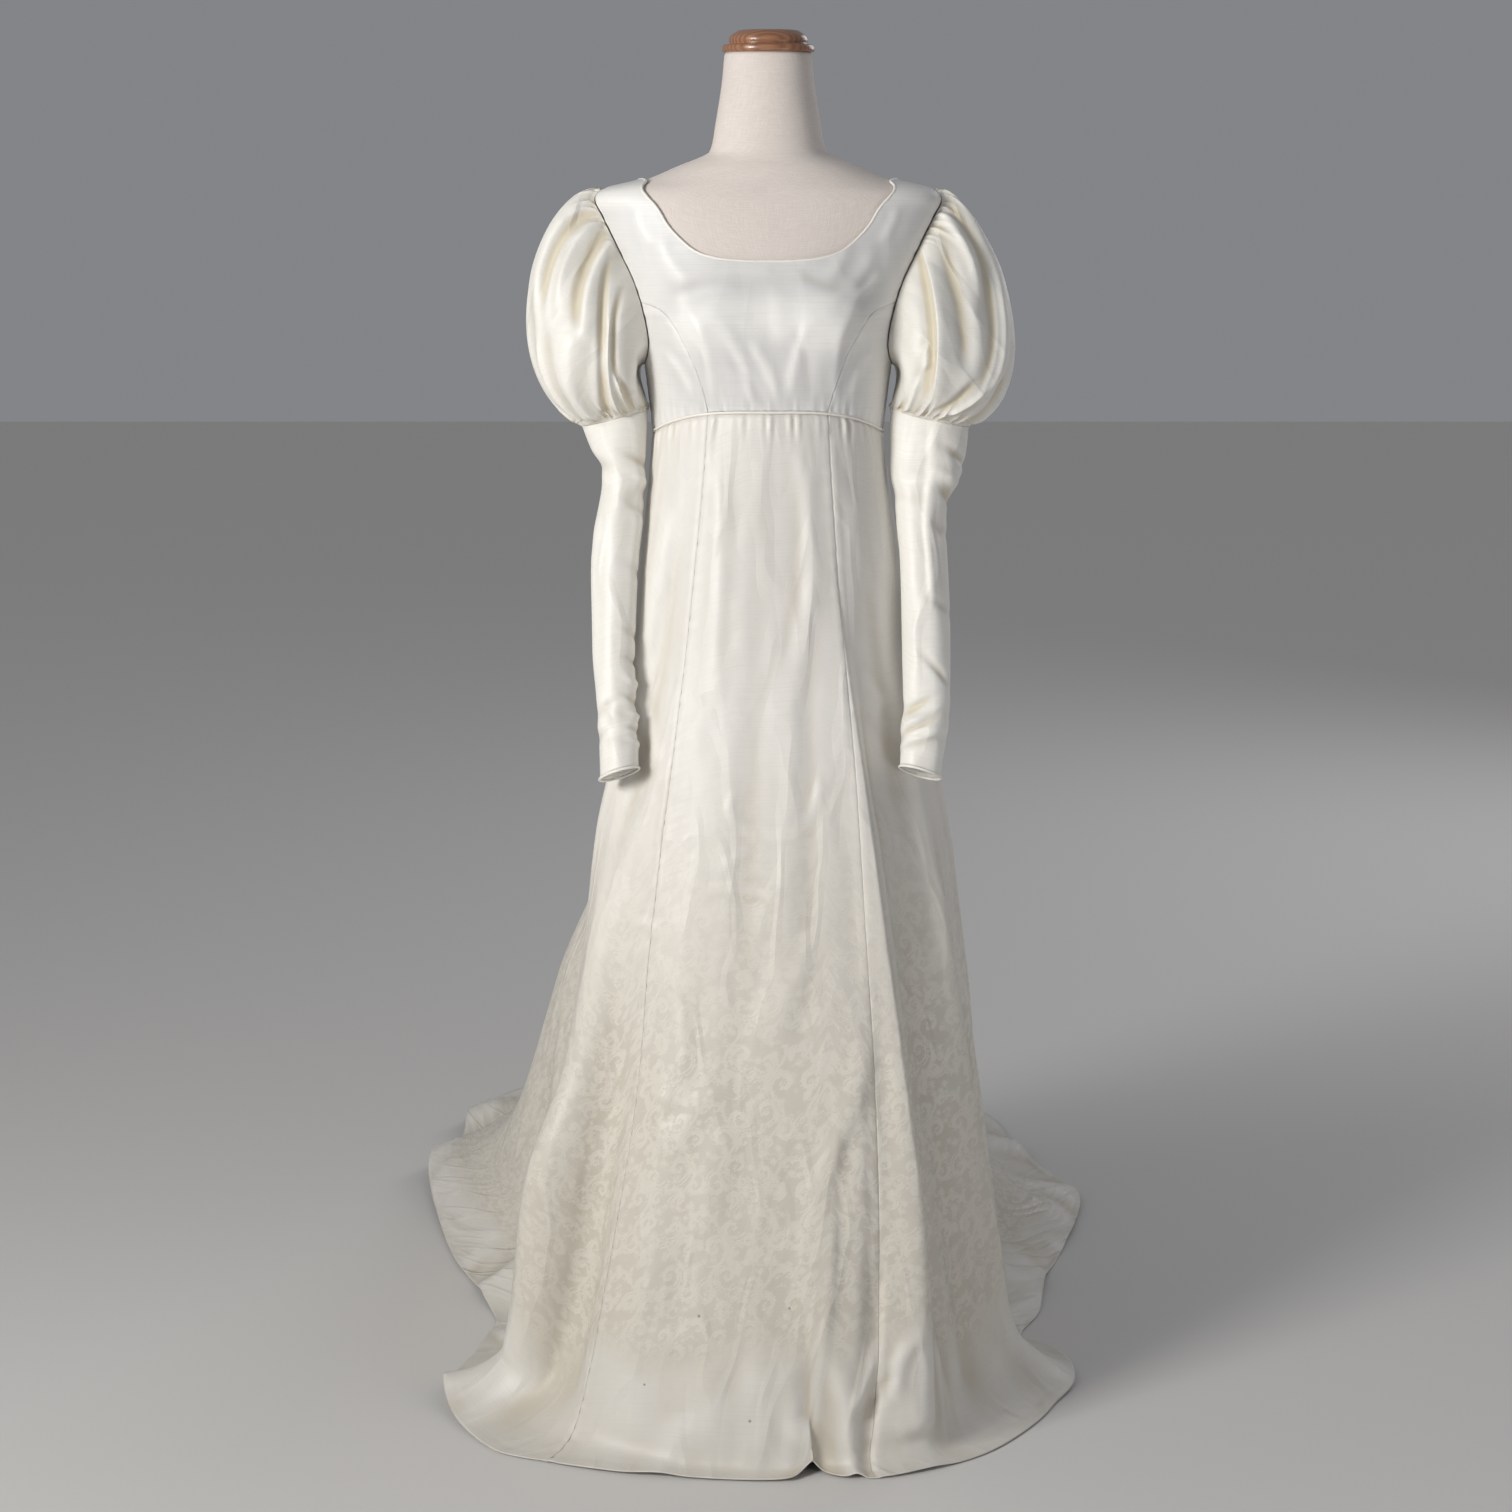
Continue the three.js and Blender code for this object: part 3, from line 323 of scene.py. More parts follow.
# %% The satins
# Satin here has IOR 1.5 and roughness 0.38 to 0.50, and the ground of the damask is 0.07 rougher. The slub
# lines are 0.7 mm apart on the real cloth and are drawn 1.7 mm apart, because finer ones would not show.
SLUBS_PER_METRE = (14, 590, 1)
THREADS_PER_METRE = (900, 1500, 1)
# Painted highlight: creases that stand out are painted paler. Painted shade: the skirt is painted duller and
# greyer towards the hem, where less light falls.
CREST_HIGHLIGHT, HEM_SHADE = "#f6f4ee", "#a69f90"
DAMASK_GROUND, DAMASK_FIGURE = "#cbc4b7", "#e2ddd2"
# Fields of noise: whether they lie on the cloth or in the room, blotches to the metre along each axis, turn,
# detail and roughness. The soft one dents the cloth, and the two turned ones crease it.
NOISES = {
    "slub": (True, SLUBS_PER_METRE, 0, 1.0, 0.5), "threads": (True, THREADS_PER_METRE, 0, 0.0, 0.5),
    "blotch": (False, (4, 4, 5), 0, 2.0, 0.5), "soft": (False, (22, 22, 13), 0, 1.5, 0.45),
    "steep": (True, (11, 3.6, 1), -0.5, 2.0, 0.4), "slant": (True, (13, 4, 1), 0.9, 2.0, 0.4)}


def satin(name, bright, dull, hollow, roughness=0.42, patterned=False, crumpled=1.0):
    """Ivory satin: the bright face, slightly uneven, with fine slub lines, painted shade (a creamier tint) in
    the hollows and a painted highlight (a paler tint) on the crests. It is crumpled: soft dents, and sharper
    lines where two fields of noise are near their middle value."""
    made, tree, shader = new_material(name)
    uv = add_node(tree, "UVMap", uv_map="cloth").outputs[0]
    place = add_node(tree, "TexCoord").outputs["Object"]
    noise = {}
    for field, (on_cloth, per_metre, turned, detail, roughly) in NOISES.items():
        placed = add_node(tree, "Mapping", {"Vector": uv if on_cloth else place, "Rotation": (0, 0, turned),
                                            "Scale": per_metre}).outputs[0]
        noise[field] = add_node(tree, "TexNoise", {"Vector": placed, "Scale": 1.0, "Detail": detail,
                                                   "Roughness": roughly}).outputs[0]
    slub, threads, blotch, soft, steep, slant = noise.values()
    dip = add_node(tree, "Attribute", attribute_name="hollow").outputs["Fac"]
    uneven = work_out(tree, "a = SUBTRACT blotch 0.35; b = MULTIPLY a 1.6", blotch=blotch)["b"]
    # Painted shade and painted highlight: the hollow measure tints hollows creamier and crests paler.
    fold_light = work_out(tree, """
        deep = SUBTRACT dip 0.5
        more = MULTIPLY deep 1.4
        in = MAXIMUM more 0
        hollow = MINIMUM in 0.9
        out = MULTIPLY deep -1.2
        crest = MAXIMUM out 0
        """, dip=dip)
    lines = work_out(tree, "a = SUBTRACT slub 0.46; b = MULTIPLY a 0.5; c = MAXIMUM b 0", slub=slub)["c"]
    tints = [(uneven, dull), (fold_light["hollow"], hollow), (fold_light["crest"], CREST_HIGHLIGHT), (lines, hollow)]
    gleam = work_out(tree, f"a = SUBTRACT slub 0.5; b = MULTIPLY a 0.16; c = ADD b {roughness}",
                     slub=slub)["c"]
    if patterned:
        motif = damask(tree, uv)
        placed = add_node(tree, "Mapping", {"Vector": uv, "Scale": (5, 5, 1)}).outputs[0]
        edge = add_node(tree, "TexNoise", {"Vector": placed, "Scale": 1.0, "Detail": 2.0,
                                           "Roughness": 0.6}).outputs[0]
        parts = add_node(tree, "SeparateXYZ", {0: uv}).outputs
        height = add_node(tree, "SeparateXYZ", {0: place}).outputs[2]
        strength = work_out(tree, """
            wander = MULTIPLY edge 0.26
            band = SUBTRACT up wander
            inner = MULTIPLY_ADD band 16 0.3
            low = MAXIMUM inner 0
            woven = MINIMUM low 1
            left = SUBTRACT 0.90 height
            fade = MULTIPLY left 2.2
            high = MAXIMUM fade 0.10
            faint = MINIMUM high 1
            part = MULTIPLY woven faint
            shown = MULTIPLY part motif
            pale = MULTIPLY shown 0.80
            ground = MULTIPLY part 0.8
            rough = MULTIPLY_ADD shown -0.13 0.07
            """, up=parts[1], edge=edge, height=height, motif=motif)
        gleam = work_out(tree, "a = ADD gleam rough", gleam=gleam, rough=strength["rough"])["a"]
        # Painted shade: the satin is painted darker and greyer below 0.72 m, deepest at the hem.
        hem_shade = work_out(tree, "a = SUBTRACT 0.72 height; b = MULTIPLY a 0.60; c = MAXIMUM b 0", height=height)
        tints += [(strength["ground"], DAMASK_GROUND), (strength["pale"], DAMASK_FIGURE),
                  (add_specks(tree, place), "#6b6252"), (hem_shade["c"], HEM_SHADE)]
    face = bright
    for share, tint in tints:
        face = add_node(tree, "Mix", {0: share, 6: face, 7: tint}, data_type="RGBA").outputs[2]
    tree.links.new(face, shader.inputs["Base Color"])
    tree.links.new(gleam, shader.inputs["Roughness"])
    shader.inputs["IOR"].default_value = 1.5
    shader.inputs["Sheen Weight"].default_value = 0.08
    shader.inputs["Sheen Roughness"].default_value = 0.4
    level = work_out(tree, f"""
        fine = MULTIPLY slub 0.00016
        finer = MULTIPLY_ADD threads 0.00004 fine
        dents = MULTIPLY_ADD soft {0.0044 * crumpled} finer
        off = SUBTRACT steep 0.5
        near = ABSOLUTE off
        line = MULTIPLY_ADD near -18 1
        crease = MAXIMUM line 0
        away = SUBTRACT slant 0.52
        close = ABSOLUTE away
        mark = MULTIPLY_ADD close -20 1
        fold = MAXIMUM mark 0
        both = ADD crease fold
        level = MULTIPLY_ADD both {0.00095 * crumpled} dents
        """, slub=slub, threads=threads, soft=soft, steep=steep, slant=slant)["level"]
    bump = add_node(tree, "Bump", {"Height": level, "Distance": 1.0, "Strength": 0.8})
    tree.links.new(bump.outputs[0], shader.inputs["Normal"])
    return made


# Four small dark marks in the lower front of the skirt: place across and up in metres, and radius.
SPECKS = table("x z radius", (-0.079, 0.178, 0.0015), (0.024, 0.190, 0.0012), (-0.142, 0.093, 0.0012),
               (-0.021, 0.062, 0.0014))


def add_specks(tree, place):
    """Up to 0.8 at a speck's place on the front, and 0 elsewhere."""
    found = 0.0
    for x, z, radius in zip(*SPECKS.values()):
        away = add_node(tree, "VectorMath", {0: place, 1: (x, 0, z)}, operation="SUBTRACT").outputs[0]
        flat = add_node(tree, "VectorMath", {0: away, 1: (1, 0, 1)}, operation="MULTIPLY").outputs[0]
        gap = add_node(tree, "VectorMath", {0: flat}, operation="LENGTH").outputs["Value"]
        near = work_out(tree, f"""
            a = DIVIDE gap {radius}
            b = SUBTRACT 1.5 a
            c = MULTIPLY b 1.5
            near = MAXIMUM c 0
            """, gap=gap)["near"]
        found = work_out(tree, "a = MAXIMUM b c", b=found, c=near)["a"]
    front = add_node(tree, "SeparateXYZ", {0: place}).outputs[1]
    return work_out(tree, "a = LESS_THAN y 0; b = MULTIPLY a found; c = MULTIPLY b 0.8; d = MINIMUM c 0.8",
                    y=front, found=found)["d"]


# The third colour of each satin is the painted shade of its hollows, and it also tints the slub lines.
SKIRT_SATIN = satin("ivory damask satin", "#e4e1dc", "#d9d5cd", "#c6bca8", 0.43, patterned=True)
BODICE_SATIN = satin("ivory duchesse satin", "#dedddb", "#d4d2cf", "#c4c0b8", 0.45, crumpled=0.4)
SLEEVE_SATIN = satin("cream duchesse satin", "#e3e0d8", "#dad5ca", "#d3c7ac", 0.50, crumpled=1.3)
PIPING_SATIN = satin("satin-covered cord", "#f0ede6", "#e8e4da", "#dad4c4", 0.38, crumpled=0.2)
print("satins", len(bpy.data.materials))

# %% [markdown]
# ## Linen, wood and steel
# The form is covered in plain linen whose warp shows as fine upright lines. The cap is a turned hardwood
# disc, reddish and varnished. Turned wood shows long grain on top and end grain on two sides, which rings
# stretched along one axis give. The pole is brushed steel.

# %% Materials of the form and its stand
# Fields of noise on the linen: blotches to the metre along each axis, detail and roughness.
LINEN_NOISES = {"warp": ((700, 60, 1), 1.0, 0.5), "weft": ((60, 700, 1), 1.0, 0.5),
                "blotch": ((9, 9, 1), 3.0, 0.6)}


def linen(name):
    """Plain-woven linen: matt, with uneven threads both ways, 1.5 mm apart so that they show."""
    made, tree, shader = new_material(name)
    uv = add_node(tree, "UVMap", uv_map="cloth").outputs[0]
    noise = {}
    for field, (per_metre, detail, roughly) in LINEN_NOISES.items():
        placed = add_node(tree, "Mapping", {"Vector": uv, "Scale": per_metre}).outputs[0]
        noise[field] = add_node(tree, "TexNoise", {"Vector": placed, "Scale": 1.0, "Detail": detail,
                                                   "Roughness": roughly}).outputs[0]
    sums = work_out(tree, """
        w = SUBTRACT warp 0.5
        h = SUBTRACT weft 0.5
        wide = MULTIPLY w 0.7
        high = MULTIPLY h 0.7
        woven = ADD wide high
        level = ADD woven 0.40
        soft = MULTIPLY_ADD blotch 0.5 -0.25
        tone = ADD level soft
        depth = MULTIPLY woven 0.0004
        """, **noise)
    tone = add_node(tree, "Clamp", {0: sums["tone"]}).outputs[0]
    face = add_node(tree, "Mix", {0: tone, 6: "#e4dbd4", 7: "#d0c5bd"}, data_type="RGBA").outputs[2]
    tree.links.new(face, shader.inputs["Base Color"])
    shader.inputs["Roughness"].default_value = 0.92
    shader.inputs["Sheen Weight"].default_value = 0.15
    bump = add_node(tree, "Bump", {"Height": sums["depth"], "Distance": 1.0, "Strength": 0.8})
    tree.links.new(bump.outputs[0], shader.inputs["Normal"])
    return made


def turned_wood(name, pale, dark, tilt):
    """Varnished hardwood: growth rings about 3 mm apart, stretched along the board, and fine pores."""
    made, tree, shader = new_material(name)
    place = add_node(tree, "TexCoord").outputs["Object"]
    board = add_node(tree, "Mapping", {"Vector": place, "Location": (0.31, 0.06, 0.1),
                                       "Rotation": (0, tilt, 0), "Scale": (30, 330, 330)}).outputs[0]
    rings = add_node(tree, "TexWave", {"Vector": board, "Scale": 0.16, "Distortion": 6.0, "Detail": 2.0,
                                       "Detail Scale": 0.6}, bands_direction="Y").outputs["Fac"]
    placed = add_node(tree, "Mapping", {"Vector": place, "Scale": (60, 900, 900)}).outputs[0]
    pores = add_node(tree, "TexNoise", {"Vector": placed, "Scale": 1.0, "Detail": 2.0,
                                        "Roughness": 0.5}).outputs[0]
    tone = work_out(tree, "a = MULTIPLY rings 0.55; b = MULTIPLY pores 0.6; c = ADD a b; d = SUBTRACT c 0.15",
                    rings=rings, pores=pores)["d"]
    tone = add_node(tree, "Clamp", {0: tone}).outputs[0]
    face = add_node(tree, "Mix", {0: tone, 6: pale, 7: dark}, data_type="RGBA").outputs[2]
    tree.links.new(face, shader.inputs["Base Color"])
    shine = work_out(tree, "a = MULTIPLY_ADD pores 0.14 0.24", pores=pores)["a"]
    tree.links.new(shine, shader.inputs["Roughness"])
    shader.inputs["Coat Weight"].default_value = 0.35
    shader.inputs["Coat Roughness"].default_value = 0.12
    level = work_out(tree, "a = MULTIPLY pores 0.0001", pores=pores)["a"]
    bump = add_node(tree, "Bump", {"Height": level, "Distance": 1.0, "Strength": 0.6})
    tree.links.new(bump.outputs[0], shader.inputs["Normal"])
    return made


def brushed_steel(name):
    """Steel tube, brushed round: fine lines round it that widen the gleam."""
    made, tree, shader = new_material(name)
    place = add_node(tree, "TexCoord").outputs["Object"]
    placed = add_node(tree, "Mapping", {"Vector": place, "Scale": (20, 20, 1400)}).outputs[0]
    lines = add_node(tree, "TexNoise", {"Vector": placed, "Scale": 1.0, "Detail": 2.0,
                                        "Roughness": 0.5}).outputs[0]
    face = add_node(tree, "Mix", {0: lines, 6: "#c4c3bf", 7: "#9c9b98"}, data_type="RGBA").outputs[2]
    tree.links.new(face, shader.inputs["Base Color"])
    shader.inputs["Metallic"].default_value = 1.0
    rough = work_out(tree, "a = MULTIPLY_ADD lines 0.2 0.22", lines=lines)["a"]
    tree.links.new(rough, shader.inputs["Roughness"])
    return made


FORM_LINEN = linen("natural linen cover")
CAP_WOOD = turned_wood("varnished cherry", "#a8795a", "#764a32", 0.1)
BASE_WOOD = turned_wood("varnished beech", "#a5703f", "#6f4423", 0.2)
POLE_STEEL = brushed_steel("brushed steel tube")
print("materials", len(bpy.data.materials))

# %% [markdown]
# ## From a grid of points to a piece of cloth
# A panel is a grid: rows run down the cloth and columns across it. Blender could subdivide and sculpt a
# plane, but a grid of worked-out points is exact, and gives the cloth its own flat coordinates for free:
# how far along the row and how far up from the hem, in metres, which is how a weave really lies. A Solidify
# modifier then gives the cloth its thickness, inwards, so the outer face stays where it was worked out.

# %% Cloth from a grid
MM = 0.001


def arc_lengths(points, axis):
    """Distance walked along the grid from its first row or column."""
    steps = np.linalg.norm(np.diff(points, axis=axis), axis=-1)
    start = np.zeros_like(steps[:1] if axis == 0 else steps[:, :1])
    return np.cumsum(np.concatenate([start, steps], axis), axis)


def grid_normals(points):
    """Normals from the differences along rows and columns."""
    normal = np.cross(np.gradient(points, axis=1), np.gradient(points, axis=0))
    return normal / np.maximum(np.linalg.norm(normal, axis=-1, keepdims=True), 1e-12)


# The hollow measure sets where the satins paint shade in hollows and a highlight on crests.
def hollows(points, outward, reach=14 * MM, scale=3.6 * MM, closed=False):
    """0.5 on flat cloth, more in a hollow: how far four points, 14 mm away, stand out over the middle one."""
    gap_down = np.linalg.norm(np.diff(points, axis=0), axis=-1).mean()
    gap_across = np.linalg.norm(np.diff(points, axis=1), axis=-1).mean()
    down = int(np.clip(round(reach / gap_down), 1, points.shape[0] // 3))
    across = int(np.clip(round(reach / gap_across), 1, points.shape[1] // 3))
    rows, columns = np.arange(points.shape[0]), np.arange(points.shape[1])
    last = points.shape[1] - 1

    def sideways(shift):
        at = (columns + shift) % last if closed else np.clip(columns + shift, 0, last)
        return points[:, at]

    around = points[np.clip(rows + down, 0, rows[-1])] + points[np.clip(rows - down, 0, rows[-1])]
    around = (around + sideways(across) + sideways(-across)) / 4
    rise = ((around - points) * grid_normals(points) * outward).sum(-1)
    return np.clip(0.5 + rise / scale, 0, 1)


def mesh_from_grid(name, points, uv, closed, facing, attributes=None):
    """One mesh from a grid of points in metres. "closed" joins the last column to the first. "facing" gives
    for each point the place that its faces turn away from."""
    rows, columns = points.shape[:2]
    across = columns - 1 if closed else columns
    verts = points[:, :across].reshape(-1, 3)
    j, i = np.meshgrid(np.arange(rows - 1), np.arange(columns - 1), indexing="ij")
    corner = lambda dj, di: ((j + dj) * across + (i + di) % across).ravel()
    uv_corner = lambda dj, di: ((j + dj) * columns + i + di).ravel()
    order = [(0, 0), (1, 0), (1, 1), (0, 1)]
    a, b, c = (verts[corner(*o)] for o in order[:3])
    outward = (np.cross(b - a, c - b) * ((a + c) / 2 - facing(a))).sum()
    if outward < 0:
        order = order[::-1]
    faces = np.stack([corner(*o) for o in order], -1)
    loops_uv = np.stack([uv_corner(*o) for o in order], -1).ravel()
    mesh = bpy.data.meshes.new(name)
    mesh.vertices.add(len(verts))
    mesh.vertices.foreach_set("co", verts.astype(np.float32).ravel())
    mesh.loops.add(faces.size)
    mesh.loops.foreach_set("vertex_index", faces.astype(np.int32).ravel())
    mesh.polygons.add(len(faces))
    mesh.polygons.foreach_set("loop_start", np.arange(0, faces.size, 4, dtype=np.int32))
    layer = mesh.uv_layers.new(name="cloth")
    layer.data.foreach_set("uv", uv.reshape(-1, 2)[loops_uv].astype(np.float32).ravel())
    for key, values in (attributes or {}).items():
        made = mesh.attributes.new(key, "FLOAT", "POINT")
        made.data.foreach_set("value", values[:, :across].astype(np.float32).ravel())
    mesh.update(calc_edges=True)
    mesh.validate()
    mesh.polygons.foreach_set("use_smooth", np.ones(len(mesh.polygons), bool))
    made = bpy.data.objects.new(name, mesh)
    bpy.context.scene.collection.objects.link(made)
    return made


def finish_piece(piece, material, nodes):
    """Gives a piece its material and its body, and hides the nodes it stands for."""
    piece.data.materials.append(material)
    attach(piece, "root")
    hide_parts(*nodes)


def cloth_uv(points):
    """Metres along the row from the middle column, and up the column from the hem."""
    across = arc_lengths(points, 1)
    down = arc_lengths(points, 0)
    middle = across[:, points.shape[1] // 2, None]
    return np.stack([across - middle, down[-1] - down], -1)


def figure_uv(points):
    """For close-fitting panels: metres round the figure, and height."""
    return np.stack([np.arctan2(points[..., 0], -points[..., 1]) * 0.12, points[..., 2]], -1)


def cloth_piece(name, points_mm, material, node, centre, thickness=1.0, closed=False, flat=cloth_uv):
    """A panel of cloth from its outer face, in millimetres, with its thickness added inwards."""
    points = points_mm * MM
    uv = flat(points)
    middle = centre(points.reshape(-1, 3)).reshape(points.shape)
    outward = np.sign(((points - middle) * grid_normals(points)).sum())
    piece = mesh_from_grid(name, points, uv, closed, centre,
                           {"hollow": hollows(points, outward, closed=closed)})
    solid = piece.modifiers.new("cloth thickness", "SOLIDIFY")
    solid.thickness = thickness * MM
    solid.offset = -1
    finish_piece(piece, material, [node])
    size = arc_lengths(points, 1)[:, -1].max(), arc_lengths(points, 0)[-1].max()
    side_a, side_b = np.diff(points, axis=1)[:-1], np.diff(points, axis=0)[:, :-1]
    area = np.linalg.norm(np.cross(side_a, side_b), axis=-1).sum()
    print(f"{name}: {points.shape[0]} x {points.shape[1]}, {size[0]:.3f} x {size[1]:.3f} m, {area:.3f} m2")
    return piece


def axis_of(points):
    """The nearest point of the form's axis, a little below, so that cloth on the floor faces up."""
    return np.stack([points[:, 0] * 0, points[:, 1] * 0, points[:, 2] - 0.1], -1)


# %% [markdown]
# ## Creases
# A crease is a soft ridge or trough along a slightly bowed line, strongest in its middle. A person who
# presses and hangs a dress leaves a few, never two alike, so each has its own line in the tables. They
# could be sculpted by hand, but a table can be changed by a millimetre. The seams also pucker a little,
# because a thread always pulls tighter than the cloth.

# %% Creases and puckers
def creased(x, z, rows):
    """Sum of ridges: height times a bell of the distance from the bowed line, tapered to its two ends."""
    total = np.zeros(np.broadcast(x, z).shape)
    for ax, az, bx, bz, bow, width, height in zip(*rows.values()):
        length = math.hypot(bx - ax, bz - az)
        ux, uz = (bx - ax) / length, (bz - az) / length
        along = ((x - ax) * ux + (z - az) * uz) / length
        away = (z - az) * ux - (x - ax) * uz - bow * 4 * along * (1 - along)
        taper = smooth(along / 0.3) * smooth((1 - along) / 0.3)
        total += height * bell(away / width) * taper
    return total


def long_folds(rows, across, down, scale=1.0):
    """Folds that run down the cloth. Each line is the parabola through its three given places; the fold is a
    bell of the distance from it, with its own reach to either side, and fades over a third at each end."""
    total = np.zeros(np.broadcast(across, down).shape)
    for da, a, db, b, dc, c, left, right, height in zip(*rows.values()):
        line = (a * (down - db) * (down - dc) / ((da - db) * (da - dc))
                + b * (down - da) * (down - dc) / ((db - da) * (db - dc))
                + c * (down - da) * (down - db) / ((dc - da) * (dc - db)))
        away = turn_away(across, line) * scale
        reach = 0.33 * (dc - da)
        shown = smooth((down - da) / reach + 0.1) * (smooth((dc - down) / reach + 0.1) if dc < 1 else 1)
        total += height * bell(away / np.where(away < 0, left, right)) * shown
    return total


def puckers(along, pitch, seed):
    """Uneven ripples about "pitch" apart: three sines whose lengths don't divide into each other."""
    p = along / pitch * 2 * math.pi
    long, short = np.sin(p * 0.63 + 2.1 * seed), np.sin(p * 1.37 + 0.7 * seed)
    return (np.sin(p + seed) + 0.6 * long + 0.4 * short) / 1.6


def clustered(count, amount=0.8):
    """Shares from 0 to 1 that lie closer at both ends, where the seams roll in."""
    even = np.linspace(0, 1, count)
    return mix(even, 0.5 - 0.5 * np.cos(math.pi * even), amount)


print("ripple", round(float(puckers(3.0, 12.0, 1.0)), 3))

# %% [markdown]
# ## The skirt
# Five panels hang from the empire seam: a front, two side fronts and two backs that run on into the train.
# A cloth simulation would find its own folds, but here the folds have known places. So the skirt is one
# surface in two parameters, the angle round the form and the share of the fall. It hangs down close to the
# figure, spreads, bends softly where it meets the floor, and lies out to its hem.

# %% The hem, the spread and the folds
HEM = table(
    "turn foot reach soft",
    (-180, 545, 1226, 200), (-163, 545, 1231, 225), (-158, 542, 1165, 240), (-153, 538, 1010, 250),
    (-147, 545, 890, 225), (-140, 508, 720, 160), (-132, 415, 575, 96), (-122, 322, 440, 52),
    (-110, 285, 372, 30), (-98, 256, 368, 36), (-86, 256, 385, 52), (-74, 276, 402, 58),
    (-62, 312, 409, 46), (-52, 326, 409, 32), (-41, 328, 384, 20), (-29, 324, 363, 14),
    (-17, 320, 347, 10), (-5, 319, 341, 8), (4, 319, 341, 8), (9, 307, 321, 8), (15, 321, 345, 9),
    (23, 325, 358, 12), (32, 326, 362, 16), (44, 318, 366, 24), (56, 308, 364, 32), (70, 300, 366, 42),
    (82, 290, 380, 48), (90, 285, 379, 42), (99, 282, 366, 30), (106, 288, 338, 20), (117, 308, 398, 40),
    (128, 350, 470, 62), (137, 425, 610, 92), (144, 485, 765, 130), (150, 520, 845, 165),
    (156, 538, 930, 185), (161, 543, 1070, 195), (168, 545, 1180, 200), (180, 545, 1226, 200))
hem_foot, hem_reach, hem_soft = (read(HEM, "turn", key) for key in ("foot", "reach", "soft"))
# The hem dips in at this angle. The dip fades out above the hem, where the foot is read without that row.
NOTCH = 9
unnotched_foot = read({key: values[HEM["turn"] != NOTCH] for key, values in HEM.items()}, "turn", "foot")
SPREAD = table(
    "fall front side back",
    (0, 0, 0, 0), (0.06, 0.035, 0.06, 0.02), (0.12, 0.085, 0.135, 0.06), (0.24, 0.21, 0.295, 0.17),
    (0.36, 0.35, 0.46, 0.29), (0.5, 0.51, 0.6, 0.43), (0.7, 0.73, 0.78, 0.66), (0.85, 0.87, 0.9, 0.82),
    (1, 1, 1, 1))
spread_front, spread_side, spread_back = (read(SPREAD, "fall", key) for key in ("front", "side", "back"))
# A fold runs from "top" degrees to "hem" degrees, starts at the share "start" of the fall, and has its own
# width to its left and right, so that a fold can lie over like a soft pleat.
FOLDS = table(
    "top hem start left right out up",
    (-48, -66, 0.3, 8, 8, 20, 26), (-44, -50, 0.45, 6, 6, -12, 0), (-30, -31, 0.6, 8, 8, 7, 10),
    (-14, -13, 0.45, 6, 6, 5, 7), (-4, -2, 0.6, 5, 5, 4, 6), (16, 15, 0.55, 8, 6, 5, 9),
    (42, 31, 0.28, 8, 4.2, 22, 20), (52, 54, 0.35, 8, 8, -17, 0), (72, 84, 0.4, 9, 7, 16, 26),
    (100, 106, 0.45, 6, 6, -12, 0), (-92, -101, 0.45, 8, 8, -8, 0), (122, 124, 0.3, 6, 6, 14, 16),
    (140, 141, 0.15, 6, 6, 26, 22), (158, 157, 0.12, 5, 5, 24, 18), (177, 172, 0.12, 5, 5, 22, 14),
    (-120, -126, 0.3, 6, 6, 12, 18), (-138, -140, 0.15, 6, 6, 26, 24), (-157, -154, 0.12, 5, 5, 24, 20),
    (-172, -168, 0.14, 5, 5, 18, 14))
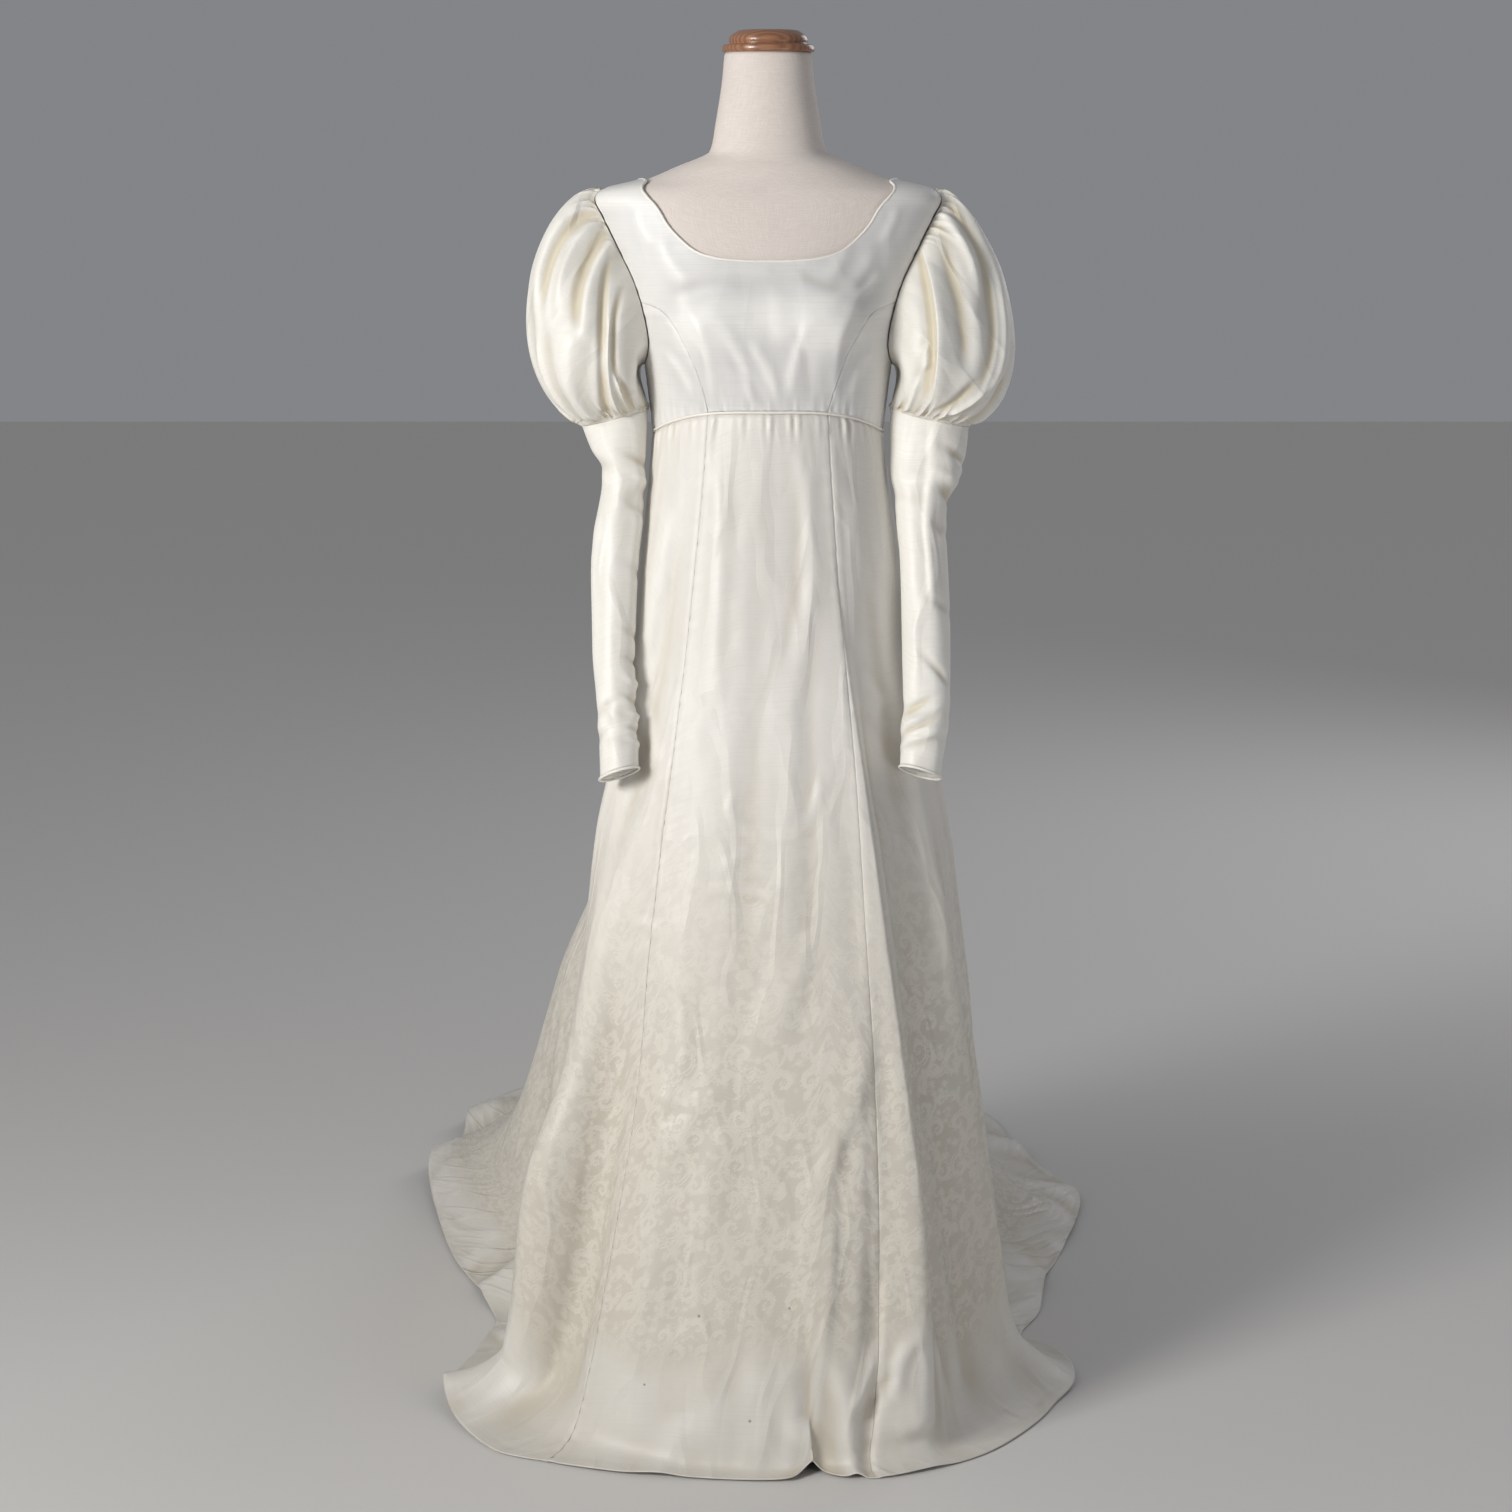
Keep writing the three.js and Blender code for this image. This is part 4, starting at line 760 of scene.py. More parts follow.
# Pressed folds: the line's angle at three shares of the fall, how far the fold reaches to its left and right
# in millimetres, and how high it stands (or lies, below zero). A short reach on one side makes a crisp edge.
LONG_FOLDS_SKIRT = table(
    "fall_a turn_a fall_b turn_b fall_c turn_c left right height",
    (0.12, 30.4, 0.54, 34.2, 0.97, 34.6, 20, 3.2, 9.0), (0.18, 38.0, 0.60, 41.0, 0.95, 38.5, 9, 40, -17),
    (0.46, 26.0, 0.74, 20.5, 0.96, 16.0, 60, 18, 8.5), (0.74, 27.0, 0.88, 22.5, 1.04, 19.0, 14, 7, -6),
    (0.86, 14.0, 0.94, 16.5, 1.02, 17.0, 9, 14, 6), (0.36, -48.0, 0.56, -53.0, 0.80, -62.0, 34, 20, 9),
    (0.50, -43.0, 0.78, -50.5, 0.99, -60.0, 34, 44, -27),
    (0.58, -56.0, 0.82, -66.0, 1.0, -77.0, 34, 46, 25), (0.66, 16.5, 0.84, 12.5, 1.02, 9.0, 34, 8, 6),
    (0.34, 60.0, 0.68, 65.5, 0.94, 79.0, 34, 6, 14), (0.50, 71.0, 0.76, 77.0, 0.97, 88.0, 9, 22, -10),
    (0.30, 48.0, 0.62, 50.0, 0.90, 54.0, 20, 24, -8), (0.68, 43.0, 0.80, 44.0, 0.93, 45.0, 12, 12, -9),
    (0.84, 41.0, 0.90, 39.8, 0.97, 38.0, 6, 4, 5), (0.12, -12.0, 0.45, -14.5, 0.82, -17.0, 24, 20, 2.4),
    (0.14, -4.0, 0.42, -6.0, 0.80, -8.0, 20, 15, -2.0), (0.18, 12.0, 0.40, 7.0, 0.60, 2.0, 16, 18, 2.2),
    (0.10, 18.0, 0.36, 14.0, 0.62, 10.0, 18, 14, -2.4), (0.30, -24.0, 0.55, -25.0, 0.90, -29.0, 22, 24, 4),
    (0.05, 50.0, 0.30, 52.0, 0.60, 56.0, 16, 16, -5), (0.05, -52.0, 0.26, -60.0, 0.48, -66.0, 20, 16, 5),
    (0.06, -43.0, 0.24, -47.0, 0.44, -52.0, 14, 16, -5), (0.03, -28.0, 0.14, -24.0, 0.30, -20.0, 12, 10, 3),
    (0.03, 24.0, 0.12, 20.0, 0.26, 13.0, 10, 12, 3), (0.16, 74.0, 0.40, 80.0, 0.66, 92.0, 12, 18, 5),
    (0.93, 6.0, 0.96, 8.0, 1.01, 8.5, 12, 10, 9), (0.92, -18.0, 0.96, -20.0, 1.01, -21.0, 30, 24, 4),
    (0.40, -134, 0.62, -140, 0.88, -147, 80, 60, 24), (0.30, -91, 0.62, -97, 0.95, -104, 46, 26, -26),
    (0.10, 150, 0.34, 152, 0.62, 156, 60, 46, 12),
    (0.06, 176, 0.30, 174, 0.60, 171, 50, 60, 10), (0.08, -164, 0.32, -162, 0.60, -160, 44, 50, -10),
    (0.05, -128, 0.28, -126, 0.55, -122, 36, 30, -9), (0.05, 126, 0.28, 124, 0.55, 121, 36, 30, -9),
    (0.04, 140, 0.20, 141, 0.44, 143, 30, 34, -8), (0.04, 163, 0.24, 164, 0.50, 165, 30, 30, -8),
    (0.05, -110, 0.30, -112, 0.66, -116, 24, 30, 6), (0.05, 108, 0.30, 110, 0.66, 112, 24, 30, 6),
    (0.03, -150, 0.18, -152, 0.40, -154, 26, 26, 6), (0.03, 170, 0.16, 168, 0.36, 167, 22, 22, -5))
SLEEVE_DENT = dict(turn=52, width=15, top=1060, bottom=700, depth=9)
BODICE_EDGE = PIPING - 0.1
SKIRT_EDGE = PIPING + 0.5


def skirt_surface(turn, fall):
    """Where the cloth is for an angle and a share of its fall: a soft-plus bend carries it from the hanging
    line to the floor, the spread sets how far out it hangs, and the folds move it out or up."""
    turn, fall = np.broadcast_arrays(turn, fall)
    wrapped = turn_away(turn, 0)
    start = draped(turn, empire_height(turn), np.full(turn.shape, EASE))
    top_radius = np.hypot(start[..., 0], start[..., 1])
    top_z = empire_height(turn) - SKIRT_EDGE
    foot, soft = hem_foot(wrapped), hem_soft(wrapped)
    trail = hem_reach(wrapped) - foot
    foot = mix(unnotched_foot(wrapped), foot, smooth((fall - 0.80) / 0.17))
    drop = np.hypot(top_z, foot - top_radius)
    run = fall * (drop + trail) - drop
    height = lambda t: soft * np.logaddexp(0, -t / soft)
    length = lambda t: soft * np.logaddexp(0, t / soft)
    tail = height(trail)
    z = top_z * (height(run) - tail) / (height(-drop) - tail)
    lying = trail * (length(run) - length(-drop)) / (length(trail) - length(-drop))
    share = 1 - z / top_z
    sideways = np.sin(np.radians(turn)) ** 2
    ahead = np.where(np.cos(np.radians(turn)) > 0, spread_front(share), spread_back(share))
    radius = mix(top_radius, foot, mix(ahead, spread_side(share), sideways)) + lying
    hanging = smooth(z / (soft + 40))
    out, up = 0, 0
    for top, hem, begin, left, right, fold_out, fold_up in zip(*FOLDS.values()):
        away = turn_away(turn, mix(top, hem, fall))
        width = np.where(away < 0, left, right) * mix(1.25, 1, fall)
        shape = bell(away / width) * smooth((fall - begin) / (0.95 - begin))
        out, up = out + fold_out * shape, up + fold_up * shape
    dent = SLEEVE_DENT
    pressed = (bell((np.abs(wrapped) - dent["turn"]) / dent["width"])
               * smooth((dent["top"] - z) / 160) * smooth((z - dent["bottom"]) / 90))
    radius = radius + out * hanging - dent["depth"] * pressed
    lift = up * (1 - hanging) * smooth((1 - fall) / 0.12 + 0.25)
    return polar(turn, radius, np.maximum(0, z + lift))


on_skirt = lifted(skirt_surface, 0.25, 0.002, -1)


# %% The creases of the skirt
# Places are across (X) and up (Z) in millimetres on the front, and the same seen through from the front on
# the back. On the floor they are X and Y. Heights are out from the cloth, so a trough is below zero.
FRONT_CREASES = table(
    "ax az bx bz bow width height",
    (-80, 654, 24, 642, 9, 5, 1.7), (-78, 646, 20, 633, 9, 6, -1.0),
    (-58, 676, -14, 706, 2, 5, 1.4), (-14, 720, 44, 726, -6, 5, 1.6), (38, 722, 60, 786, -5, 6, 1.6),
    (-30, 772, -34, 726, -12, 5, 1.4), (-34, 730, -8, 716, -4, 5, 1.2),
    (72, 1130, 0, 822, 8, 14, 1.8), (50, 1130, -10, 850, 14, 14, -1.6),
    (-4, 1160, -30, 900, -10, 16, 2.4), (-52, 1150, -58, 930, 6, 13, 2.2), (28, 1165, 46, 1010, 6, 10, 2.0),
    (-165, 612, -118, 606, 3, 6, 2.2), (-160, 880, -118, 760, 6, 9, 2.2), (-150, 760, -112, 800, 3, 7, -1.8),
    (-140, 394, -96, 424, 4, 10, 2.0), (-150, 378, -104, 404, 3, 9, -1.4), (-104, 340, -60, 440, 10, 14, 3.0),
    (40, 300, 118, 520, -12, 14, 3.5), (66, 250, 112, 420, 8, 12, -3.0), (-20, 420, 20, 560, 8, 18, 2.4),
    (-70, 250, -30, 420, 12, 18, 2.6), (96, 1120, 128, 960, -8, 10, 2.2), (100, 900, 140, 840, 5, 8, 1.8),
    (104, 860, 150, 790, 5, 8, -1.6), (-118, 1110, -128, 960, 5, 9, 1.8), (-104, 560, -98, 400, 5, 10, 2.2),
    (10, 470, 70, 640, 9, 14, 2.6), (-40, 90, 60, 120, 8, 18, 2.0), (-150, 120, -70, 150, 10, 16, 2.2),
    (92, 60, 126, 150, -4, 9, 7.0), (112, 44, 150, 120, 5, 8, -5.0), (146, 70, 176, 160, 12, 10, 6.0),
    (176, 300, 232, 420, 10, 14, 4.0), (190, 520, 214, 700, 6, 10, 2.4), (-196, 520, -176, 700, 6, 10, 2.0))
BACK_CREASES = table(
    "ax az bx bz bow width height",
    (-60, 1120, -40, 820, 8, 14, 2.6), (52, 1130, 70, 860, -10, 14, 2.6), (8, 1100, 0, 800, 6, 16, 2.4),
    (-90, 980, -120, 760, 7, 12, 2.4), (96, 1010, 124, 800, -7, 12, 2.2), (-50, 760, 26, 742, 9, 7, 2.4),
    (20, 700, 84, 716, -6, 6, 2.2), (-120, 650, -60, 668, 6, 7, 2.0), (60, 600, 130, 560, 9, 9, 2.4),
    (-170, 520, -110, 470, 9, 10, 2.8), (-30, 600, 40, 480, 14, 14, 2.6), (130, 430, 190, 360, 10, 11, 3.0))
FLOOR_CREASES = table(
    "ax az bx bz bow width height",
    (-452, 530, -311, 292, -26, 4, 3.0), (-446, 522, -306, 284, -26, 5, -2.0),
    (-440, 640, -420, 590, 4, 8, 2.5), (-470, 690, -380, 640, 8, 9, 3.0), (440, 560, 240, 640, 14, 7, 2.5),
    (430, 820, 180, 900, 16, 8, 3.0), (350, 840, 420, 700, 6, 6, 2.5), (424, 484, 300, 500, 6, 4, 2.0),
    (-380, 960, -60, 1010, 18, 12, 4.5), (360, 1010, 40, 960, 16, 12, 4.0),
    (-260, 1120, 20, 1080, 14, 10, 3.5), (-60, 640, -90, 980, 22, 14, 5.0),
    (110, 600, 60, 1000, -24, 14, 5.0), (230, 540, 260, 820, 16, 10, 3.5),
    (-300, 560, -320, 800, -14, 10, 3.0), (60, 1150, 300, 1120, 10, 9, 3.5), (-200, 900, 0, 860, 14, 8, 3.0),
    (40, 880, 240, 930, -12, 8, 3.0))
# Drapes of the train: a line on the floor walked from a to b, how far the cloth slopes to its left and to
# its right, and its height. One short side makes a drape that lies over.
DRAPES = table(
    "ax ay bx by left right height",
    (-500, 772, -250, 560, 24, 110, 36), (-480, 985, -250, 830, 26, 60, 28),
    (-440, 880, -280, 740, 26, 22, -14), (-385, 250, -230, 215, 16, 50, 11),
    (-400, 320, -280, 235, 24, 20, -5), (-380, 1120, -200, 900, 24, 50, 14), (-340, 90, -260, 120, 20, 30, 7),
    (-470, 610, -300, 420, 60, 50, 5), (462, 650, 250, 480, 50, 26, 11), (436, 486, 250, 430, 30, 40, 8),
    (405, 850, 230, 690, 34, 24, 13), (420, 560, 300, 470, 22, 22, -6), (385, 300, 260, 150, 24, 40, 10),
    (395, 390, 290, 300, 22, 24, -5), (300, 990, 180, 780, 34, 50, 14), (60, 1180, 40, 760, 40, 50, 14),
    (-120, 1190, -80, 720, 44, 40, 16), (160, 1180, 110, 700, 34, 34, -10), (-30, 1190, -20, 800, 30, 30, -9),
    (240, 1080, 200, 760, 34, 34, 10), (-220, 1130, -190, 800, 34, 34, -9))


def drapes(x, y):
    """Heights of the drapes: a bell with its own reach on each side of the line, tapered towards b."""
    total = np.zeros(np.shape(x))
    for ax, ay, bx, by, left, right, height in zip(*DRAPES.values()):
        length = math.hypot(bx - ax, by - ay)
        ux, uy = (bx - ax) / length, (by - ay) / length
        along = ((x - ax) * ux + (y - ay) * uy) / length
        away = (y - ay) * ux - (x - ax) * uy
        shown = smooth(along / 0.2 + 0.6) * smooth((1.1 - along) / 0.5)
        total += height * bell(away / np.where(away > 0, left, right)) * shown
    return total


SKIRT_SEAMS = table(
    "fall left right side_left side_right",
    (0, -34.5, 34.5, -92, 92), (0.35, -35, 30, -96, 96), (0.65, -36, 27, -101, 101),
    (0.85, -40, 24, -106, 106), (0.93, -42.5, 22, -109, 109), (1, -41.5, 20, -112, 112))
seam_at = {key: read(SKIRT_SEAMS, "fall", key) for key in ("left", "right", "side_left", "side_right")}
seam_at["back_left"] = lambda fall: -180 + 0 * fall
seam_at["back_right"] = lambda fall: 180 + 0 * fall
print("creases on the skirt", len(FRONT_CREASES["ax"]) + len(BACK_CREASES["ax"]) + len(FLOOR_CREASES["ax"]))


# %% The five panels
def skirt_panel(start_seam, end_seam, columns, rows, seed):
    """The outer face of one panel. Its two edges roll in by a millimetre and pucker, its top is drawn up by
    the empire seam in short ripples, its hem is rolled, and the creases lift it along its normal."""
    u = clustered(columns)[None, :]
    fall = mix(np.linspace(0, 1, rows), 1 - (1 - np.linspace(0, 1, rows)) ** 1.25, 0.5)[:, None]
    start, end = seam_at[start_seam](fall), seam_at[end_seam](fall)
    here = skirt_surface(mix(start, end, u), fall)
    per_degree = np.hypot(here[..., 0], here[..., 1]) * math.pi / 180
    gap = 0.04 / per_degree
    turn = mix(start + gap, end - gap, u)
    width = (end - start) * per_degree
    edge = np.minimum(u, 1 - u) * width
    down = arc_lengths(here, 0)
    from_hem = down[-1] - down
    x, y, z = np.moveaxis(here, -1, 0)
    lift = np.where(y < 0, creased(x, z, FRONT_CREASES), creased(x, z, BACK_CREASES)) * smooth(z / 40)
    lift = lift + creased(x, y, FLOOR_CREASES) * smooth((150 - z) / 90)
    lift = lift + long_folds(LONG_FOLDS_SKIRT, turn, fall, per_degree)
    lift = lift + drapes(x, y) * smooth((from_hem + 30) / 60)
    side = np.where(u < 0.5, seed, seed + 1.7)
    lift = lift - 0.45 * bell(edge / 1.1) + 0.45 * bell((edge - 5) / 4)
    lift = lift + 0.55 * puckers(down, 17, side) * bell(edge / 11) * smooth(down / 30)
    gathered = puckers(turn * ROUND, 12.5, seed * 0.3) * bell(down / 22) * smooth(down / 2.5)
    lift = lift + 1.9 * gathered * (0.6 + 0.4 * np.sin(turn * 0.11 + seed)) - 0.4 * bell(down / 1.2)
    lift = lift + 0.5 * bell((from_hem - 1.5) / 1.6) - 0.35 * bell((from_hem - 16) / 1.5)
    points = on_skirt(turn, fall, SKIRT_WALL + lift)
    points[..., 2] = np.maximum(points[..., 2], 1.4 + 0.3 * np.abs(u - 0.5))
    return points


# Each panel: its two seams, columns, seed of its puckers, flat size in metres and area in square metres.
SKIRT_PANELS = [
    ("skirt_front", "left", "right", 104, 1.0, (0.40, 1.26), 0.32),
    ("skirt_side_front_left", "side_left", "left", 92, 2.3, (0.52, 1.28), 0.33),
    ("skirt_side_front_right", "right", "side_right", 100, 3.1, (0.64, 1.26), 0.37),
    ("skirt_back_left", "back_left", "side_left", 112, 4.4, (1.48, 1.84), 0.88),
    ("skirt_back_right", "side_right", "back_right", 112, 5.2, (1.38, 1.84), 0.79),
]
SKIRT_ROWS = 210
for name, start_seam, end_seam, columns, seed, flat, area in SKIRT_PANELS:
    points = skirt_panel(start_seam, end_seam, columns, SKIRT_ROWS, seed)
    piece = cloth_piece(name + "_cloth", points, SKIRT_SATIN, name, axis_of)

# %% [markdown]
# ## The bodice
# A fitted bodice is smooth because its shape is in its seams: the princess seams run from the armhole over
# the cup to the empire seam, and take the fullness out. So the panels lie on the figure, a fixed ease away,
# and are told where their edges are. The front and the backs are strips that run from the neckline down to
# an outer edge, and each side front is a patch stretched between its four seams.

# %% Seam lines of the bodice
def seam_curve(rows):
    """A curve through rows of angle and height, walked by its own length, as a tape would be laid on it."""
    points = np.stack([rows["turn"] * ROUND, rows["z"]], -1)
    last = len(points) - 1
    t = np.linspace(0, last, 40 * last + 1)
    i = np.minimum(t.astype(int), last - 1)
    f = (t - i)[:, None]
    p0, p1 = points[np.maximum(i - 1, 0)], points[i]
    p2, p3 = points[i + 1], points[np.minimum(i + 2, last)]
    p0 = np.where((i == 0)[:, None], p1, p0)
    v0, v1 = (p2 - p0) / 2, (p3 - p1) / 2
    line = (2 * p1 - 2 * p2 + v0 + v1) * f**3 + (-3 * p1 + 3 * p2 - 2 * v0 - v1) * f**2 + v0 * f + p1
    walked = np.concatenate([[0], np.cumsum(np.linalg.norm(np.diff(line, axis=0), axis=1))])
    walked /= walked[-1]

    def at(share):
        share = np.clip(share, 0, 1)
        return np.interp(share, walked, line[:, 0]) / ROUND, np.interp(share, walked, line[:, 1])

    return at


PRINCESS_FOOT = 34.5
ARMPIT, BACK_NECK = 1238, 1410
neck_front = seam_curve(table("turn z", (90, 1447.5), (77, 1445), (66, 1424.5), (57, 1394), (45, 1371),
                              (32, 1362), (16, 1359), (0, 1358.5)))
neck_back = seam_curve(table("turn z", (90, 1447), (106, 1443), (122, 1431), (142, 1417), (162, 1411),
                             (180, BACK_NECK)))
arm_front = seam_curve(table("turn z", (90, 1434.5), (86, 1417), (83, 1393), (79, 1363), (74, 1335),
                             (70.5, 1312)))
arm_under = seam_curve(table("turn z", (70.5, 1312), (68.5, 1286), (70, 1262), (78, 1245),
                              (SIDE_SEAM, ARMPIT)))
arm_under_back = seam_curve(table("turn z", (SIDE_SEAM, ARMPIT), (106, 1246), (113, 1264)))
arm_back = seam_curve(table("turn z", (113, 1264), (114, 1290), (111, 1318), (105, 1352), (99, 1388),
                            (94, 1418), (90, 1434.5)))
princess = seam_curve(table("turn z", (70.5, 1312), (56, 1304), (46, 1287), (40, 1263), (36.5, 1228),
                            (PRINCESS_FOOT, float(empire_height(PRINCESS_FOOT)) + BODICE_EDGE)))


def empire_edge(first, last):
    return lambda share: (mix(first, last, share), empire_height(mix(first, last, share)) + BODICE_EDGE)


def side_seam(share):
    """Up the side seam from the empire seam to the armhole."""
    return SIDE_SEAM + 0 * share, mix(float(empire_height(SIDE_SEAM)) + BODICE_EDGE, ARMPIT, share)


def moved_towards(point, towards, distance):
    """A seam point moved into its own panel by a distance on the cloth."""
    length = np.hypot((towards[0] - point[0]) * ROUND, towards[1] - point[1])
    share = distance / np.maximum(length, 1e-6)
    return mix(point[0], towards[0], share), mix(point[1], towards[1], share)


NECK_INSET = 0.2
BACK_EDGE = CENTRE_BACK - 0.1 / ROUND


def neck_edge(first, last):
    return lambda share, outer: moved_towards(neck_front(mix(first, last, share)), outer, NECK_INSET)


def neck_edge_back(share, outer):
    turn, z = neck_back(share)
    return np.minimum(turn, BACK_EDGE), z - NECK_INSET


def centre_back(first, last):
    return lambda share, outer: (BACK_EDGE + 0 * share, mix(first, last, share**0.7))


# Spans of a half: outer edge, inner edge and columns. They follow each other from the shoulder down.
FRONT_SPANS = [(arm_front, neck_edge(0, 0.47), 30), (princess, neck_edge(0.47, 0.76), 26),
               (empire_edge(PRINCESS_FOOT, 0), neck_edge(0.76, 1), 18)]
empire_back = empire_edge(SIDE_SEAM, CENTRE_BACK)
BACK_SPANS = [(lambda s: arm_back(mix(1, 0.14, s)), neck_edge_back, 30),
              (lambda s: arm_back(mix(0.14, 0, s)), centre_back(1408, 1378), 5),
              (lambda s: arm_under_back(1 - s), centre_back(1378, 1268), 16),
              (lambda s: side_seam(1 - s), centre_back(1268, 1242), 14),
              (lambda s: empire_back(s**1.5), centre_back(1242, 1212), 40)]

# %% The bodice panels
BODICE_CREASES = table(
    "ax az bx bz bow width height",
    (-60, 1300, -20, 1196, 10, 6, 2.0), (-30, 1280, 12, 1194, 8, 6, 1.8), (58, 1306, 24, 1196, -10, 6, 2.0),
    (30, 1290, 44, 1196, 6, 5, -1.2), (-84, 1306, -62, 1196, 6, 6, 1.6), (84, 1296, 74, 1196, -4, 6, 1.6),
    (-40, 1250, -2, 1190, 4, 5, -1.0), (-120, 1262, -84, 1202, 6, 5, 1.4), (118, 1260, 92, 1198, -5, 5, 1.4),
    (92, 1400, 60, 1330, 6, 9, 1.6), (120, 1380, 66, 1310, 8, 9, 1.8), (-128, 1398, -84, 1330, -8, 9, 1.6),
    (-100, 1340, -60, 1262, -7, 8, 1.6), (100, 1340, 66, 1262, 7, 8, 1.8), (0, 1340, 10, 1260, 8, 12, 1.2),
    (128, 1352, 92, 1316, 5, 5, 2.0), (-150, 1420, -128, 1372, -4, 6, 1.4), (146, 1424, 124, 1376, 4, 6, 1.4),
    (-110, 1310, -30, 1330, 6, 6, 1.2), (30, 1350, 96, 1326, -6, 7, -1.3), (-70, 1346, 20, 1342, 5, 6, 0.9))
BODICE_BACK_CREASES = table(
    "ax az bx bz bow width height",
    (-40, 1330, -20, 1196, 9, 10, 1.6), (44, 1320, 24, 1200, -8, 10, 1.6), (-90, 1300, -60, 1190, 8, 9, 1.6),
    (88, 1310, 66, 1190, -8, 9, 1.6), (-120, 1380, -70, 1330, 8, 9, 1.4), (118, 1384, 70, 1340, -8, 9, 1.4))


def on_bodice(turn, z, edge, seed):
    """The outer face of the bodice: rolled in at its seams, creased, and rippled above the empire seam."""
    here = on_figure(turn, z)
    up = z - empire_height(turn) - BODICE_EDGE
    folds = np.where(here[..., 1] < 0, creased(here[..., 0], z, BODICE_CREASES),
                     creased(here[..., 0], z, BODICE_BACK_CREASES))
    ripples = 1.1 * puckers(turn * ROUND, 11.5, seed) * bell(up / 15) * smooth(up / 2)
    lift = folds + ripples - 0.4 * bell(edge / 1.2) + 0.25 * bell((edge - 4.5) / 3)
    lift = lift + 0.3 * puckers(z, 14, seed) * bell(edge / 8)
    return draped(turn, z, EASE + WALL + lift)


def strap_panel(spans, rows, side, seed, whole=False):
    """Columns from inner to outer edge for each span, then rows of equal share down each column."""
    inner, outer = [[], []], [[], []]
    for number, (outer_edge, inner_edge, count) in enumerate(spans):
        share = np.linspace(0, 1, count + 1)[(1 if number else 0):]
        edge = [np.broadcast_to(v, share.shape) for v in outer_edge(share)]
        start = inner_edge(share, edge)
        edge = moved_towards(edge, start, 0.1)
        for store, values in ((inner, start), (outer, edge)):
            store[0].append(values[0] + 0 * share)
            store[1].append(values[1] + 0 * share)
    a_turn, a_z, b_turn, b_z = (np.concatenate(v) for v in (*inner, *outer))
    if whole:
        mirrored = lambda v, sign: np.concatenate([v, sign * v[-2::-1]])
        a_turn, b_turn = mirrored(a_turn, -1), mirrored(b_turn, -1)
        a_z, b_z = mirrored(a_z, 1), mirrored(b_z, 1)
    else:
        b_turn[-1] = BACK_EDGE
    share = clustered(rows)[:, None]
    turn, z = mix(a_turn, b_turn, share), mix(a_z, b_z, share)
    length = np.hypot((b_turn - a_turn) * ROUND, b_z - a_z)
    edge = (1 - share) * length
    return on_bodice(side * turn, z, edge, seed)


def side_front_panel(side, columns, rows, seed):
    """A patch between four seams: the sum of both pairs of opposite seams, less the corners counted twice."""
    u, v = clustered(columns)[None, :], clustered(rows)[:, None]
    bottom, top, right = empire_edge(PRINCESS_FOOT, SIDE_SEAM), arm_under, side_seam
    left = lambda share: princess(1 - share)

    def shape(u, v):
        b, t, l, r = bottom(u), top(u), left(v), right(v)
        corners = [edge(np.array(end, float)) for edge in (bottom, top) for end in (0, 1)]
        return [mix(b[k], t[k], v) + mix(l[k], r[k], u)
                - mix(mix(corners[0][k], corners[1][k], u), mix(corners[2][k], corners[3][k], u), v)
                for k in (0, 1)]

    turn, z = shape(u, v)
    width = (np.ptp(turn, axis=1) * ROUND)[:, None]
    cut = 0.1 / np.maximum(width, 1)
    turn, z = shape(mix(cut, 1 - cut, u), v)
    edge = np.minimum(np.minimum(u, 1 - u) * width, (1 - v) * 70)
    return on_bodice(side * turn, z, edge, seed)


BODICE_PANELS = [
    ("bodice_front", strap_panel(FRONT_SPANS, 44, 1, 0.6, whole=True), (0.40, 0.26), 0.062),
    ("bodice_side_front_left", side_front_panel(-1, 40, 44, 1.9), (0.15, 0.16), 0.014),
    ("bodice_side_front_right", side_front_panel(1, 40, 44, 2.8), (0.15, 0.16), 0.014),
    ("bodice_back_left", strap_panel(BACK_SPANS, 50, -1, 3.3), (0.22, 0.29), 0.048),
    ("bodice_back_right", strap_panel(BACK_SPANS, 50, 1, 4.7), (0.22, 0.29), 0.048),
]
for name, points, flat, area in BODICE_PANELS:
    piece = cloth_piece(name + "_cloth", points, BODICE_SATIN, name, axis_of, 0.9,
                        flat=figure_uv)

# %% The placket over the centre-back opening
PLACKET_WIDTH = 17


def placket():
    """A lapped strip down the centre back, with its long edges rolled and a line of stitches' dents."""
    half = PLACKET_WIDTH / 2 / ROUND
    low = float(empire_height(CENTRE_BACK)) + BODICE_EDGE + 0.6
    u, v = clustered(30)[None, :], np.linspace(0, 1, 110)[:, None]
    turn = mix(CENTRE_BACK - half, CENTRE_BACK + half, u) + 0 * v
    z = mix(low, BACK_NECK - 2 * PIPING - SEAM - 0.6, v) + 0 * u
    edge = np.minimum(u, 1 - u) * PLACKET_WIDTH
    stitch = 0.35 * bell((edge - 3) / 0.7) * (0.5 + 0.5 * np.cos(z / 3 * 2 * math.pi))
    lift = EASE + WALL + 1.9 - 0.9 * bell(edge / 0.8) - stitch + 0.25 * puckers(z, 22, 1.0)
    return draped(turn, z, lift)[::-1]


piece = cloth_piece("back_placket_cloth", placket(), BODICE_SATIN, "back_placket", axis_of,
                    0.9)

# %% [markdown]
# ## The sleeves
# Each sleeve is two pieces: a puff, cut much wider than the armhole and drawn up in gathers, and a fitted
# lower sleeve that ends in a piped, slanting cuff. The puff is a tube of meridians from the armhole to the
# elbow seam, each one a Bezier curve. Gathers are ripples that are deep near a seam and die out over the
# swell, where a few long folds take over, each with its own place.

